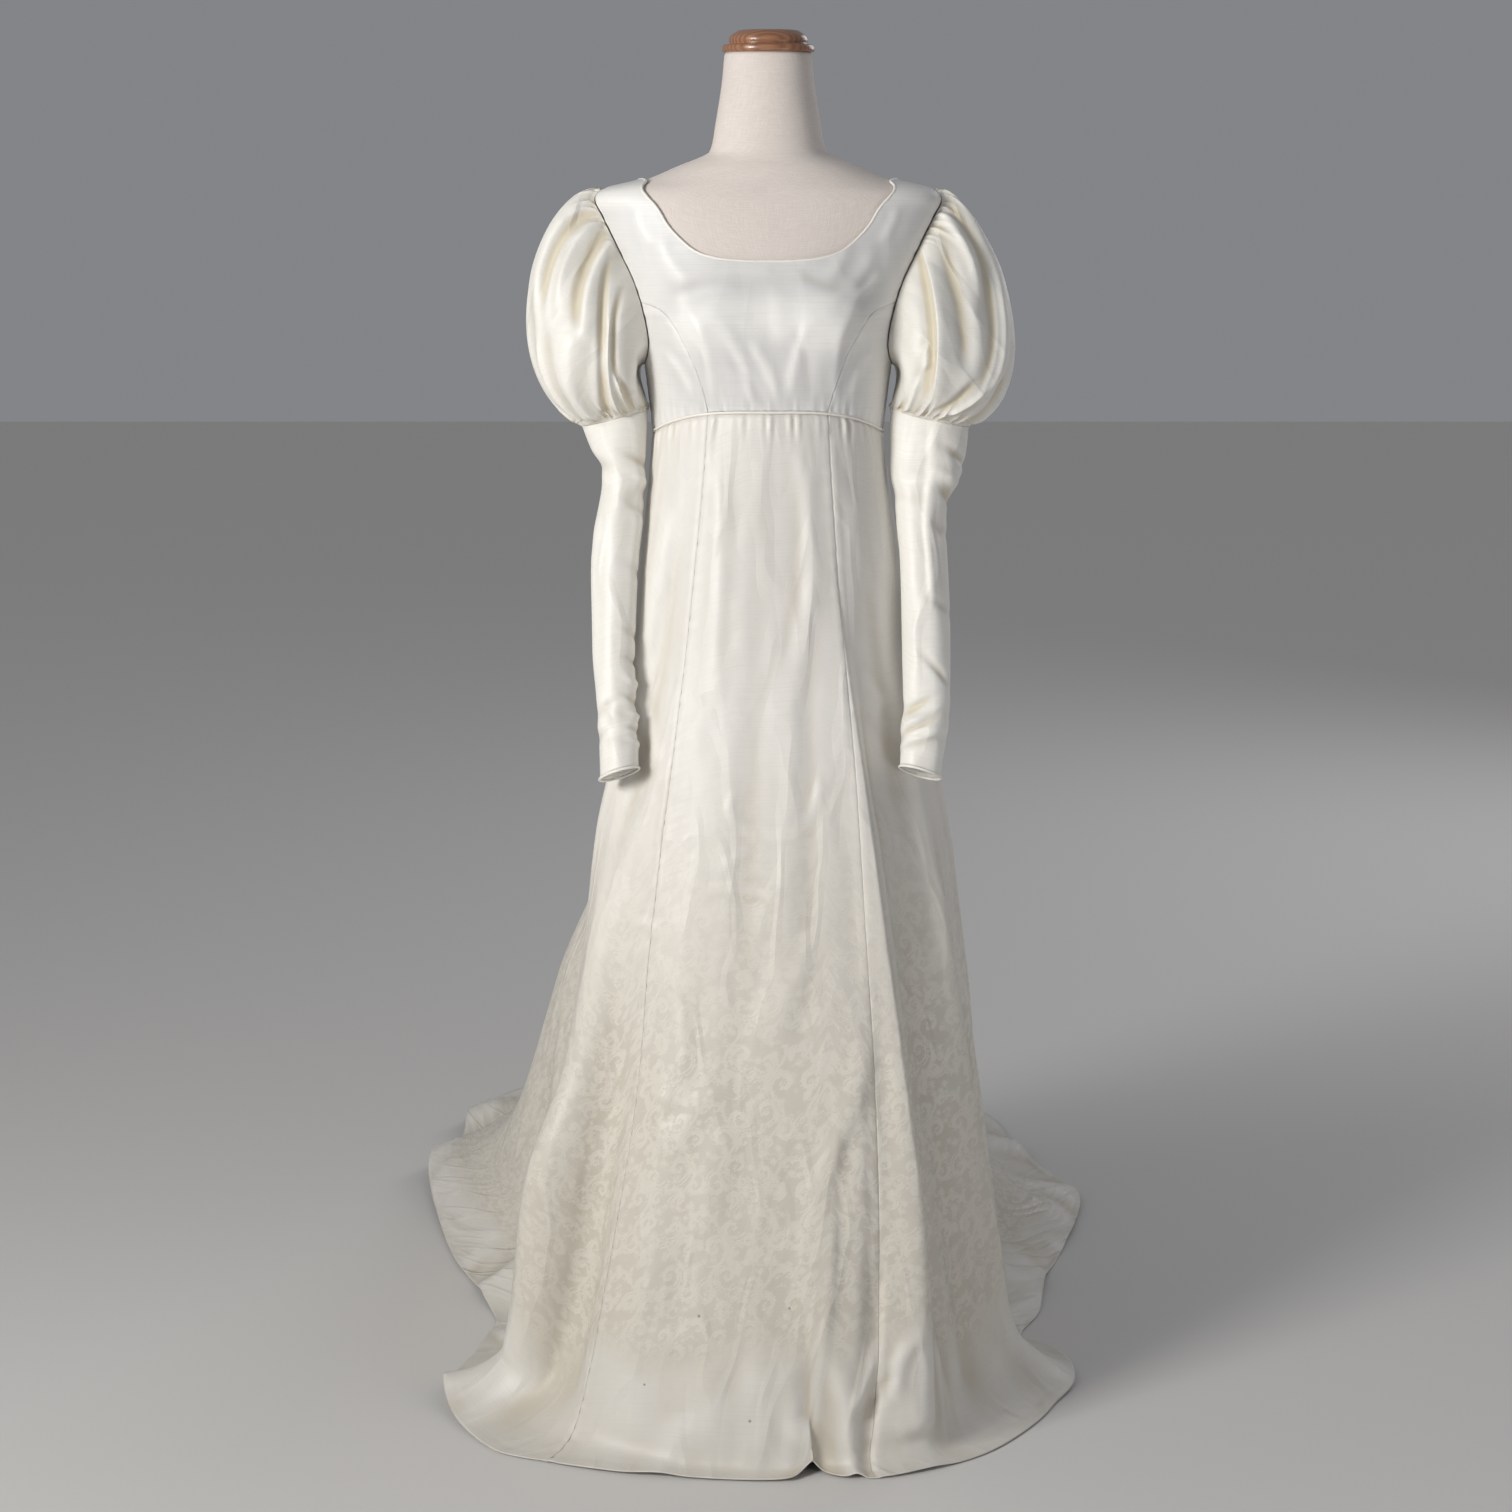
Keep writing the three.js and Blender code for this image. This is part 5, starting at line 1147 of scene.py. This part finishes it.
# %% The lower sleeves
SLEEVES = {
    "left": dict(side=-1, head=dict(out=62, up=26, low=124, drop=62), sections=table(
        "down z x y half deep",
        (0, 1168, 178, -22, 40, 38), (0.072, 1140, 173.3, -30, 33, 34), (0.13, 1118, 167, -38, 26, 30),
        (0.274, 1062, 171.7, -56, 28.5, 29), (0.39, 1017, 177, -71, 29, 28), (0.506, 972, 178, -86, 27.5, 27),
        (0.65, 916, 178, -103, 26, 26), (0.78, 866, 175, -119, 24.5, 25), (0.89, 825, 172, -132, 24, 24),
        (1, 781, 171, -143, 23.5, 23))),
    "right": dict(side=1, head=dict(out=46, up=22, low=116, drop=40), sections=table(
        "down z x y half deep",
        (0, 1168, 188, -22, 47, 40), (0.1, 1129, 185, -34, 45, 37), (0.217, 1084, 178, -50, 33.5, 33),
        (0.274, 1062, 177, -57, 30, 31), (0.39, 1017, 180, -72, 29, 30), (0.563, 950, 182, -93, 29.5, 28),
        (0.796, 860, 182.5, -118, 28.5, 26), (0.89, 825, 179, -127, 28, 25), (1, 781, 175, -135, 24.5, 24))),
}
CUFF_TILT = dict(inner=14, back=18)
ELBOW_RISE = 20
SLEEVE_CREASES = table(
    "down around height out",
    (0.14, 60, 0.025, 2.2), (0.2, 140, 0.03, -2.5), (0.3, 20, 0.04, 1.6), (0.82, 120, 0.022, -2),
    (0.87, 60, 0.02, 2), (0.92, 150, 0.02, -1.6))
# Where the lower sleeve's seam runs, how long that seam is, and how much the rows below are scaled.
SLEEVE_SEAM, SLEEVE_LENGTH = 262, 390
WRINKLE_HEIGHT, WRINKLE_WIDTH, FOLD_HEIGHT = 2.0, 1.15, 0.8
# Small wrinkles: place down and round the sleeve, slant (how far it climbs over 90 degrees), width, height.
WRINKLES = {
    "left": table("down around slant wide height",
                  (0.10, 150, 0.05, 0.012, 1.6), (0.16, 160, 0.06, 0.012, -1.4),
                  (0.24, 150, 0.05, 0.014, 1.2), (0.42, 165, 0.06, 0.014, 1.0), (0.60, 160, 0.05, 0.012, 1.2),
                  (0.68, 170, 0.04, 0.010, 1.6), (0.74, 165, 0.05, 0.010, -1.6),
                  (0.79, 160, 0.05, 0.010, 1.8), (0.84, 170, 0.04, 0.009, -1.6),
                  (0.885, 160, 0.04, 0.009, 1.8), (0.93, 165, 0.03, 0.009, -1.4),
                  (0.80, 60, -0.05, 0.012, 1.0), (0.88, 40, -0.04, 0.012, 1.0), (0.35, 250, 0.06, 0.02, 1.6),
                  (0.62, 280, -0.06, 0.02, 1.4)),
    "right": table("down around slant wide height",
                   (0.09, 30, -0.08, 0.014, 2.2), (0.15, 40, -0.07, 0.014, -1.8),
                   (0.21, 20, -0.08, 0.014, 1.8), (0.30, 30, -0.06, 0.016, 1.2),
                   (0.52, 40, -0.06, 0.014, 1.0), (0.70, 60, -0.10, 0.014, 1.4),
                   (0.80, 120, 0.05, 0.011, 2.0), (0.84, 110, 0.06, 0.010, -2.0),
                   (0.875, 120, 0.07, 0.010, 2.4), (0.91, 100, 0.05, 0.010, -1.8),
                   (0.945, 130, 0.03, 0.009, 1.4), (0.40, 250, 0.06, 0.02, 1.6),
                   (0.66, 280, -0.06, 0.02, 1.4)),
}
# Long soft folds down the lower sleeves: angle at the top and the foot, start, stop, reach each way, height.
SLEEVE_FOLDS = {
    "left": table("where foot start stop left right height",
                  (118, 100, 0.02, 0.5, 20, 26, 1.3), (76, 96, 0.1, 0.8, 22, 14, -1.2),
                  (50, 66, 0.3, 0.95, 18, 24, 1.1), (146, 130, 0.05, 0.6, 16, 14, -1.3),
                  (90, 112, 0.5, 1.1, 16, 22, 1.1), (240, 230, 0.1, 0.9, 20, 20, 1.6),
                  (310, 300, 0.1, 0.9, 20, 20, -1.6)),
    "right": table("where foot start stop left right height",
                   (97, 78, -0.05, 0.55, 4, 30, 2.0), (84, 66, -0.05, 0.55, 14, 5, -2.2),
                   (50, 40, 0.2, 0.8, 18, 22, 1.3), (132, 116, 0.1, 0.7, 18, 20, -1.1),
                   (110, 92, 0.5, 1.1, 18, 18, 1.1), (240, 230, 0.1, 0.9, 20, 20, 1.6),
                   (310, 300, 0.1, 0.9, 20, 20, -1.6)),
}


def sleeve_surface(sleeve):
    """Ovals down the arm's line. 0 degrees is the outer side, 90 the front and 180 against the skirt."""
    z, x, y, half, deep = (read(sleeve["sections"], "down", key) for key in ("z", "x", "y", "half", "deep"))

    def at(around, down):
        c, s = np.cos(np.radians(around)), np.sin(np.radians(around))
        out = 0
        for place, where, height, amount in zip(*SLEEVE_CREASES.values()):
            out = out + amount * bell(turn_away(around, where) / 75) * bell((down - place) / height)
        tilt = smooth((down - 0.8) / 0.2) * (-CUFF_TILT["inner"] * c + CUFF_TILT["back"] * s) * 0.5
        rise = ELBOW_RISE * (0.5 - 0.5 * c) * (1 - smooth(down / 0.09))
        return np.stack(np.broadcast_arrays(sleeve["side"] * (x(down) + (half(down) + out) * c),
                                            y(down) - (deep(down) + out) * s, z(down) + tilt + rise), -1)

    return at


def lower_sleeve(name, columns, rows):
    """The outer face of a lower sleeve: slanting wrinkles, a rolled top, and a seam up its back."""
    sleeve = SLEEVES[name]
    around, down = np.linspace(0, 360, columns)[None, :], np.linspace(0, 1, rows)[:, None]
    lift = WALL + 0 * around * down
    for place, where, slant, wide, height in zip(*WRINKLES[name].values()):
        away = turn_away(around, where)
        line = (down - place - slant * away / 90) / (WRINKLE_WIDTH * wide)
        lift = lift + WRINKLE_HEIGHT * height * bell(away / 40) * bell(line)
    for where, foot, start, stop, left, right, height in zip(*SLEEVE_FOLDS[name].values()):
        away = turn_away(around, mix(where, foot, down))
        shown = smooth((down - start) / 0.12) * smooth((stop - down) / 0.12)
        lift = lift + FOLD_HEIGHT * height * shown * bell(away / np.where(away < 0, left, right))
    lift = lift - 0.8 * bell(down / 0.004) - 0.5 * bell((1 - down) / 0.004)
    from_seam = turn_away(around, SLEEVE_SEAM)
    lift = lift - 0.9 * bell(from_seam / 2.0) + 0.3 * bell(from_seam / 7)
    lift = lift + 0.4 * puckers(down * SLEEVE_LENGTH, 15, 1.3) * bell(from_seam / 14)
    return lifted(sleeve_surface(sleeve), 0.5, 0.003, -sleeve["side"])(around, down, lift)


# %% The puffs
PUFF_INSET = -1.2
HEAD_SWING = dict(front=44, back=24)
CAP_GATHER, ELBOW_GATHER, TOUCH = 2.1, 2.0, 0.3
# Low waves round the puff, under its long folds: angle, reach in degrees and height.
PUFF_WAVES = table(
    "around width out",
    (25, 9, 0.7), (52, 8, -0.5), (78, 9, 0.7), (105, 8, -0.6), (128, 8, 0.4), (-30, 9, -0.5), (-60, 10, 0.6),
    (-92, 10, -0.5))
# Long folds of each puff: its angle at three shares of the way down, its reach in degrees to the outer and
# the inner side, and its height.
LONG_FOLDS = {
    "left": table("down_a a down_b b down_c c outer inner out",
                  (-0.02, 14, 0.25, 18, 0.60, 30, 9, 5, -4.5), (0.0, 24, 0.22, 25, 0.58, 42, 5, 5, 4.5),
                  (0.0, 32, 0.20, 40, 0.50, 56, 4, 6, -5.5), (0.02, 44, 0.22, 59, 0.50, 74, 6, 4, 4.5),
                  (-0.05, 46, 0.24, 70, 0.56, 87, 5, 9, -6.0), (0.42, 86, 0.64, 73, 1.02, 66, 15, 10, -8.0),
                  (0.06, 60, 0.38, 98, 1.02, 84, 4.5, 4.0, 5.5),
                  (0.30, 104, 0.60, 109, 1.02, 108, 3, 4, -4.5), (0.08, 92, 0.40, 113, 0.74, 119, 4, 4, 4.0),
                  (0.60, 117, 0.75, 121, 1.02, 122, 2.6, 2.6, -4.0),
                  (0.62, 126, 0.78, 129, 1.02, 130, 3, 4, 3.0), (0.45, 16, 0.70, 22, 1.0, 26, 14, 12, 5.0),
                  (0.52, 44, 0.72, 50, 0.98, 52, 9, 12, 4.5), (0.62, 34, 0.80, 36, 1.02, 38, 4, 4, -3.5),
                  (0.20, 150, 0.50, 146, 0.9, 142, 6, 6, -3.0), (0.1, -45, 0.5, -43, 0.9, -42, 8, 6, -5.0),
                  (0.1, -75, 0.5, -72, 0.95, -70, 6, 6, 5.0),
                  (0.15, -105, 0.5, -103, 0.9, -100, 6, 6, -5.0)),
    "right": table("down_a a down_b b down_c c outer inner out",
                   (0.0, 58, 0.40, 99, 0.86, 112, 2.2, 15, 5.5),
                   (0.0, 53, 0.40, 94, 0.90, 107, 13, 2.2, -9.0),
                   (0.44, 112, 0.52, 114, 0.62, 116, 5, 5, -4.0), (0.1, 45, 0.32, 62, 0.70, 78, 9, 8, 5.0),
                   (0.0, 22, 0.21, 32, 0.46, 46, 6, 6, -5.0), (0.0, 12, 0.20, 18, 0.44, 26, 6, 5, 3.5),
                   (0.30, 22, 0.50, 38, 0.82, 66, 3, 14, 4.5), (0.34, 12, 0.56, 30, 0.84, 54, 12, 4, -4.5),
                   (0.76, 52, 0.85, 66, 0.97, 84, 4, 5, -4.0), (0.72, 66, 0.82, 80, 0.95, 96, 6, 6, 4.0),
                   (0.70, 34, 0.84, 36, 1.02, 38, 5, 5, 4.0), (0.70, 24, 0.84, 24, 1.02, 24, 4, 4, -4.0),
                   (0.60, 124, 0.75, 128, 1.02, 130, 4, 6, -4.0), (0.2, 142, 0.5, 140, 0.9, 138, 8, 8, -2.0),
                   (0.1, -45, 0.5, -43, 0.9, -42, 8, 6, -5.0), (0.1, -75, 0.5, -72, 0.95, -70, 6, 6, 5.0),
                   (0.15, -105, 0.5, -103, 0.9, -100, 6, 6, -5.0)),
}


# Angles round the armhole at which one seam ends and the next begins.
FRONT_END, UNDER_END, BACK_START = 110, 180, 223


def armhole(around):
    """The armhole by angle: from the shoulder tip round the front, under the arm and back up."""
    turned = around % 360
    choices = [arm_front(turned / FRONT_END),
               arm_under((turned - FRONT_END) / (UNDER_END - FRONT_END)),
               arm_under_back((turned - UNDER_END) / (BACK_START - UNDER_END)),
               arm_back((turned - BACK_START) / (360 - BACK_START))]
    which = [turned <= FRONT_END, turned <= UNDER_END, turned <= BACK_START]
    return [np.select(which, [c[k] for c in choices[:3]], choices[3][k]) for k in (0, 1)]


def puff_surface(name):
    """Bezier meridians from the armhole to the elbow seam, with gathers and folds along the normal."""
    sleeve = SLEEVES[name]
    lower, head, side = sleeve_surface(sleeve), sleeve["head"], sleeve["side"]

    def meridian(around, along):
        around, along = np.broadcast_arrays(around, along)
        c, s = np.cos(np.radians(around)), np.sin(np.radians(around))
        outer = (1 + c) / 2
        turn, z = moved_towards(armhole(around), (90, 1330), PUFF_INSET)
        start = draped(turn, z, EASE + WALL + 0.4 + 0 * turn)
        end = lower(around, np.zeros(around.shape)) * [side, 1, 1] + [0, 0, TOUCH + 0.25]
        swing = np.where(s > 0, HEAD_SWING["front"], HEAD_SWING["back"])
        first = np.stack([mix(14, head["out"], outer**0.7), -swing * s, mix(-6, head["up"], outer)], -1)
        second = np.stack([mix(3, head["low"], outer**1.2), -72 * s, mix(24, head["drop"], outer)], -1)
        t = along[..., None]
        return ((1 - t) ** 3 * start + 3 * (1 - t) ** 2 * t * (start + first)
                + 3 * (1 - t) * t * t * (end + second) + t**3 * end)

    plain = lifted(meridian, 0.5, 0.004, 1)

    def at(around, along):
        t = np.clip(along, 0, 1)
        wrapped = turn_away(around, 0)
        gathered = puckers(wrapped + 2.5 * np.sin(wrapped * 0.11), 5.6, 1.4 + side)
        on_head = smooth((62 - np.abs(wrapped + 6)) / 16)
        cap_reach, elbow_reach = (0.10 + 0.03 * np.sin(wrapped * wave) for wave in (0.37, 0.19))
        at_cap = CAP_GATHER * on_head * smooth(t / 0.03) * bell((t - 0.02) / cap_reach)
        drawn = puckers(wrapped + 4 * np.sin(wrapped * 0.07), 10.5, 0.4 - side)
        at_elbow = ELBOW_GATHER * smooth((1 - t) / 0.03) * bell((1 - t) / elbow_reach)
        out = gathered * at_cap + drawn * at_elbow
        middle = smooth(t / 0.25) * smooth((1 - t) / 0.2)
        for place, width, amount in zip(*PUFF_WAVES.values()):
            out = out + amount * middle * bell(turn_away(around, place) / width)
        out = out + long_folds(LONG_FOLDS[name], around, t) * smooth(t / 0.04) * smooth((1 - t) / 0.06)
        return plain(around, t, -out) * [side, 1, 1]

    return at


def puff(name, columns, rows):
    """The outer face of a puff, with its two seam edges rolled in."""
    around, along = np.linspace(0, 360, columns)[None, :], clustered(rows, 0.5)[:, None]
    lift = WALL - 0.2 * bell(along / 0.012) + 0 * around
    points = lifted(puff_surface(name), 0.5, 0.003, -SLEEVES[name]["side"])(around, along, lift)
    points[..., 2] -= 2.2 * bell((1 - along) / 0.012)
    return points


def middle_of(points):
    """Faces turn away from the middle of their own ring, as on any tube."""
    centre = points.reshape(-1, points.shape[-1]).mean(0)
    return np.broadcast_to(centre, points.shape)


PUFF_COLUMNS, PUFF_ROWS = 301, 122
LOWER_COLUMNS, LOWER_ROWS = 89, 170
for name in SLEEVES:
    piece = cloth_piece(f"sleeve_puff_{name}_cloth", puff(name, PUFF_COLUMNS, PUFF_ROWS), SLEEVE_SATIN,
                        f"sleeve_puff_{name}", middle_of, 0.9, closed=True)
    piece = cloth_piece(f"sleeve_lower_{name}_cloth", lower_sleeve(name, LOWER_COLUMNS, LOWER_ROWS),
                        SLEEVE_SATIN, f"sleeve_lower_{name}", middle_of, 0.9, closed=True)

# %% [markdown]
# ## Piping
# A piping is a thin cord in a bias strip of satin, caught in the seam so that only the round edge shows. A
# curve with a bevel would do, but a profile carried along a path as one grid keeps its flat coordinates, so
# the satin's fine lines run across the cord. Its ends are closed.

# %% Tubes along a path
def tube(path, radius, sides=12):
    """A round section on each point of the path, square to it, with its sides set level by the vertical at
    each point.
    """
    ahead = np.gradient(path, axis=0)
    ahead /= np.linalg.norm(ahead, axis=1, keepdims=True)
    side = np.cross(ahead, [0, 0, 1.0])
    side /= np.maximum(np.linalg.norm(side, axis=1, keepdims=True), 1e-9)
    up = np.cross(side, ahead)
    angle = np.linspace(0, 2 * math.pi, sides + 1)
    ring = np.cos(angle)[None, :, None] * side[:, None] + np.sin(angle)[None, :, None] * up[:, None]
    radii = np.asarray(radius) * np.ones(len(path))
    points = path[:, None] + ring * radii[:, None, None]
    cap = lambda end: np.broadcast_to(path[end], (1, sides + 1, 3))
    return np.concatenate([cap(0), points, cap(-1)])


def piping_piece(name, path_mm, node):
    """A satin-covered cord along a path in millimetres."""
    path = path_mm * MM
    wobble = 1 + 0.05 * puckers(np.arange(len(path)) * 1.0, 9, 1.0)
    points = tube(path, PIPING * MM * wobble)
    core = np.concatenate([path[:1], path, path[-1:]])
    centre = lambda corners: core[np.argmin(((corners[:, None] - core[None]) ** 2).sum(-1), axis=1)]
    uv = np.stack([arc_lengths(points, 1), arc_lengths(points, 0)], -1)
    piece = mesh_from_grid(name, points, uv, True, centre, {"hollow": np.full(points.shape[:2], 0.5)})
    weld = piece.modifiers.new("close the ends", "WELD")
    weld.merge_threshold = 0.00002
    finish_piece(piece, PIPING_SATIN, [node])
    print(name, "length", round(float(arc_lengths(path[:, None], 0)[-1, 0]), 3), "m")


# The neck cord's middle lies lower than the cloth's outer face, so that only a low round edge shows.
NECK_CORD_LIFT = EASE + 0.5
PIPING_LIFT = EASE + PIPING + 0.2
back_gap = 0.35 / ROUND
share = np.linspace(0, 1, 160)
half_neck = [np.concatenate([a[::-1][:-1], b]) for a, b in zip(neck_back(share), neck_front(share))]
neck_turn = np.minimum(np.concatenate([half_neck[0], -half_neck[0][-2::-1]]), CENTRE_BACK - back_gap)
neck_turn = np.maximum(neck_turn, -CENTRE_BACK + back_gap)
neck_z = np.concatenate([half_neck[1], half_neck[1][-2::-1]])
neck = draped(neck_turn, neck_z, NECK_CORD_LIFT + 0 * neck_z)
piping_piece("neck_piping_cord", neck, "neck_piping")
waist_turn = np.linspace(-CENTRE_BACK + back_gap, CENTRE_BACK - back_gap, 520)
waist = draped(waist_turn, empire_height(waist_turn), PIPING_LIFT + 0 * waist_turn)
piping_piece("waist_piping_cord", waist, "waist_piping")
for name, sleeve in SLEEVES.items():
    around = np.linspace(182, 538, 170)
    on_sleeve = lifted(sleeve_surface(sleeve), 0.5, 0.003, -sleeve["side"])
    cuff = on_sleeve(around, 1 + 0 * around, WALL / 2 + 0 * around)
    cuff[:, 2] -= PIPING + TOUCH + 0.05
    piping_piece(f"cuff_piping_{name}_cord", cuff, f"cuff_piping_{name}")

# %% [markdown]
# ## The form
# The form is a padded figure without limbs, covered in linen that is seamed round the base of the neck. It
# stays a little inside the dress. The same radius function gives its rings, closed by a rounded edge below
# and a flat top, where the wooden cap sits.

# %% The linen form
FORM_BOTTOM, NECK_TOP = 800, 1592
TIP = dict(z=1428, height=14, inside=2.6)


def form_radius(turn, z):
    """The figure, drawn in by a millimetre, a little more at the shoulder tips and under the skirt."""
    tip = TIP["inside"] * bell((z - TIP["z"]) / TIP["height"]) * np.sin(np.radians(turn)) ** 6
    return figure_radius(turn, z) - 1 - tip - 1.2 * smooth((1250 - z) / 60)


def linen_form(columns=120, rows=240):
    """Rings up the figure, with a seam sunk round the neck that dips at the front, and closed ends."""
    turn = np.linspace(0, 360, columns + 1)[None, :]
    z = mix(FORM_BOTTOM, NECK_TOP, np.linspace(0, 1, rows))[:, None]
    radius = form_radius(turn, z)
    seam = 1478 - 4.5 * np.cos(np.radians(turn))
    radius = radius - 0.9 * bell((z - seam) / 1.1) + 0.35 * bell((z - seam - 4) / 3)
    for upright in (0, 34, -34, 92, -92, 148, -148, 180):
        away = turn_away(turn, upright) * math.pi / 180 * radius
        radius = radius - 0.5 * bell(away / 1.0) * (z < 1474) * (abs(upright) > 60)
    radius = radius - 14 * (1 - smooth((z - FORM_BOTTOM) / 14)) ** 2
    radius = radius - 1.5 * bell((z - NECK_TOP) / 1.2)
    ends = lambda at: polar(turn, 0.05 + 0 * turn, np.array([[at]]))
    return np.concatenate([ends(FORM_BOTTOM), polar(turn, radius, z + 0 * turn), ends(NECK_TOP)])


points = linen_form() * MM
torso = mesh_from_grid("form_torso_linen", points, cloth_uv(points), True, axis_of,
                       {"hollow": np.full(points.shape[:2], 0.5)})
torso.modifiers.new("close the ends", "WELD").merge_threshold = 0.0002
finish_piece(torso, FORM_LINEN, ["form_torso"])

# %% The cap and the stand
CAP_LOW = NECK_TOP + TOUCH
CAP = table(
    "radius z",
    (0.05, 0), (50, 0), (51.6, 0.3), (52.7, 1.4), (53, 3), (53, 5), (52.6, 6.8), (51.2, 8.2), (48, 8.8),
    (45.2, 9.1), (44.6, 9.8), (44.8, 11), (45.4, 13), (45.2, 15.4), (44.2, 17.6), (42.2, 19.6), (40.4, 20.6),
    (39.4, 21.2), (37.6, 22.4), (35, 24), (31, 24.8), (0.05, 25))


def turned(name, rows, low, material, slot, node, segments=128):
    """A profile of radius and height spun round the axis, as on a lathe."""
    turn = np.linspace(0, 360, segments + 1)[None, :]
    points = polar(turn, rows["radius"][:, None], low + rows["z"][:, None] + 0 * turn) * MM
    piece = mesh_from_grid(name, points, cloth_uv(points), True, lambda p: np.stack(
        [p[:, 0] * 0.2, p[:, 1] * 0.2, 0 * p[:, 2] + (low + rows["z"].max() / 2) * MM], -1))
    piece.modifiers.new("close the ends", "WELD").merge_threshold = 0.0002
    edges = piece.modifiers.new("soft edges", "BEVEL")
    edges.width, edges.segments, edges.limit_method, edges.angle_limit = 0.0004, 2, "ANGLE", math.radians(35)
    finish_piece(piece, material, [node])


turned("neck_cap_wood", CAP, CAP_LOW, CAP_WOOD, "turned_wood", "neck_cap")
for node, material in (("stand_pole", POLE_STEEL), ("stand_base", BASE_WOOD)):
    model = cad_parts[node]
    model.data.materials.clear()
    model.data.materials.append(material)
print("turned pieces done")

# %% [markdown]
# ## Studio
# A pale floor, a soft light high on the left of the camera, a weak one low on the right, one behind, and a
# broad faint one from the left give satin its long gentle gradients. The camera stands level with the top of
# the sleeves and looks down a little, far back, so the tall shape keeps its lines.

# %% Floor, lights and camera
floor_mesh = bpy.data.meshes.new("studio_floor")
reach = 14.0
floor_mesh.from_pydata([(-reach, -reach, 0), (reach, -reach, 0), (reach, reach, 0), (-reach, reach, 0)], [],
                       [(0, 1, 2, 3)])
floor = bpy.data.objects.new("studio_floor", floor_mesh)
bpy.context.scene.collection.objects.link(floor)
floor_paint, tree, shader = new_material("pale studio floor")
shader.inputs["Base Color"].default_value = colour("#d2d0cd")
shader.inputs["Roughness"].default_value = 0.8
floor.data.materials.append(floor_paint)
floor.location.z = -0.0005
floor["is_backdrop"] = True

world = bpy.data.worlds.new("soft studio")
bpy.context.scene.world = world
world.use_nodes = True
world.node_tree.nodes["Background"].inputs["Color"].default_value = colour("#b9bbc0")
world.node_tree.nodes["Background"].inputs["Strength"].default_value = 0.47
bpy.context.scene.view_settings.view_transform = "Standard"


def turned_towards(lamp, place, target):
    """Stands a lamp at a place and turns it towards a target."""
    bpy.context.scene.collection.objects.link(lamp)
    lamp.location = place
    away = np.array(place) - np.array(target)
    lamp.rotation_euler = (math.acos(away[2] / np.linalg.norm(away)), 0, math.atan2(away[0], -away[1]))


def soft_light(name, place, target, size, watts, tint):
    """A square area light at a place, turned towards a target."""
    data = bpy.data.lights.new(name, "AREA")
    data.size, data.energy, data.color = size, watts, colour(tint)[:3]
    turned_towards(bpy.data.objects.new(name, data), place, target)


soft_light("key", (-1.9, -2.0, 1.8), (0, 0, 1.1), 0.7, 50, "#fffdfa")
soft_light("fill", (1.5, -1.8, 0.45), (0.25, 0.1, 0.05), 1.0, 7, "#fbfbff")
soft_light("back", (2.4, 3.2, 2.4), (0, 0.5, 0.5), 2.0, 26, "#fbfbff")
wide = bpy.data.lights.new("wide light", "SUN")
wide.energy, wide.angle, wide.color = 0.62, math.radians(26), colour("#fffefb")[:3]
turned_towards(bpy.data.objects.new("wide light", wide), (-2.8, -2.5, 1.4), (0, 0, 0))

camera = bpy.data.cameras.new("camera")
camera.sensor_width = 36
camera.lens = 73.07
eye = bpy.data.objects.new("camera", camera)
bpy.context.scene.collection.objects.link(eye)
eye.location = (-0.014, -3.6, 1.472)
eye.rotation_euler = (math.radians(79), 0, 0)
bpy.context.scene.camera = eye

# %% Both boxes, the imported model's and the visual one
{"cad": cad_box, "visual": [list(corner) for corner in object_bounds()]}
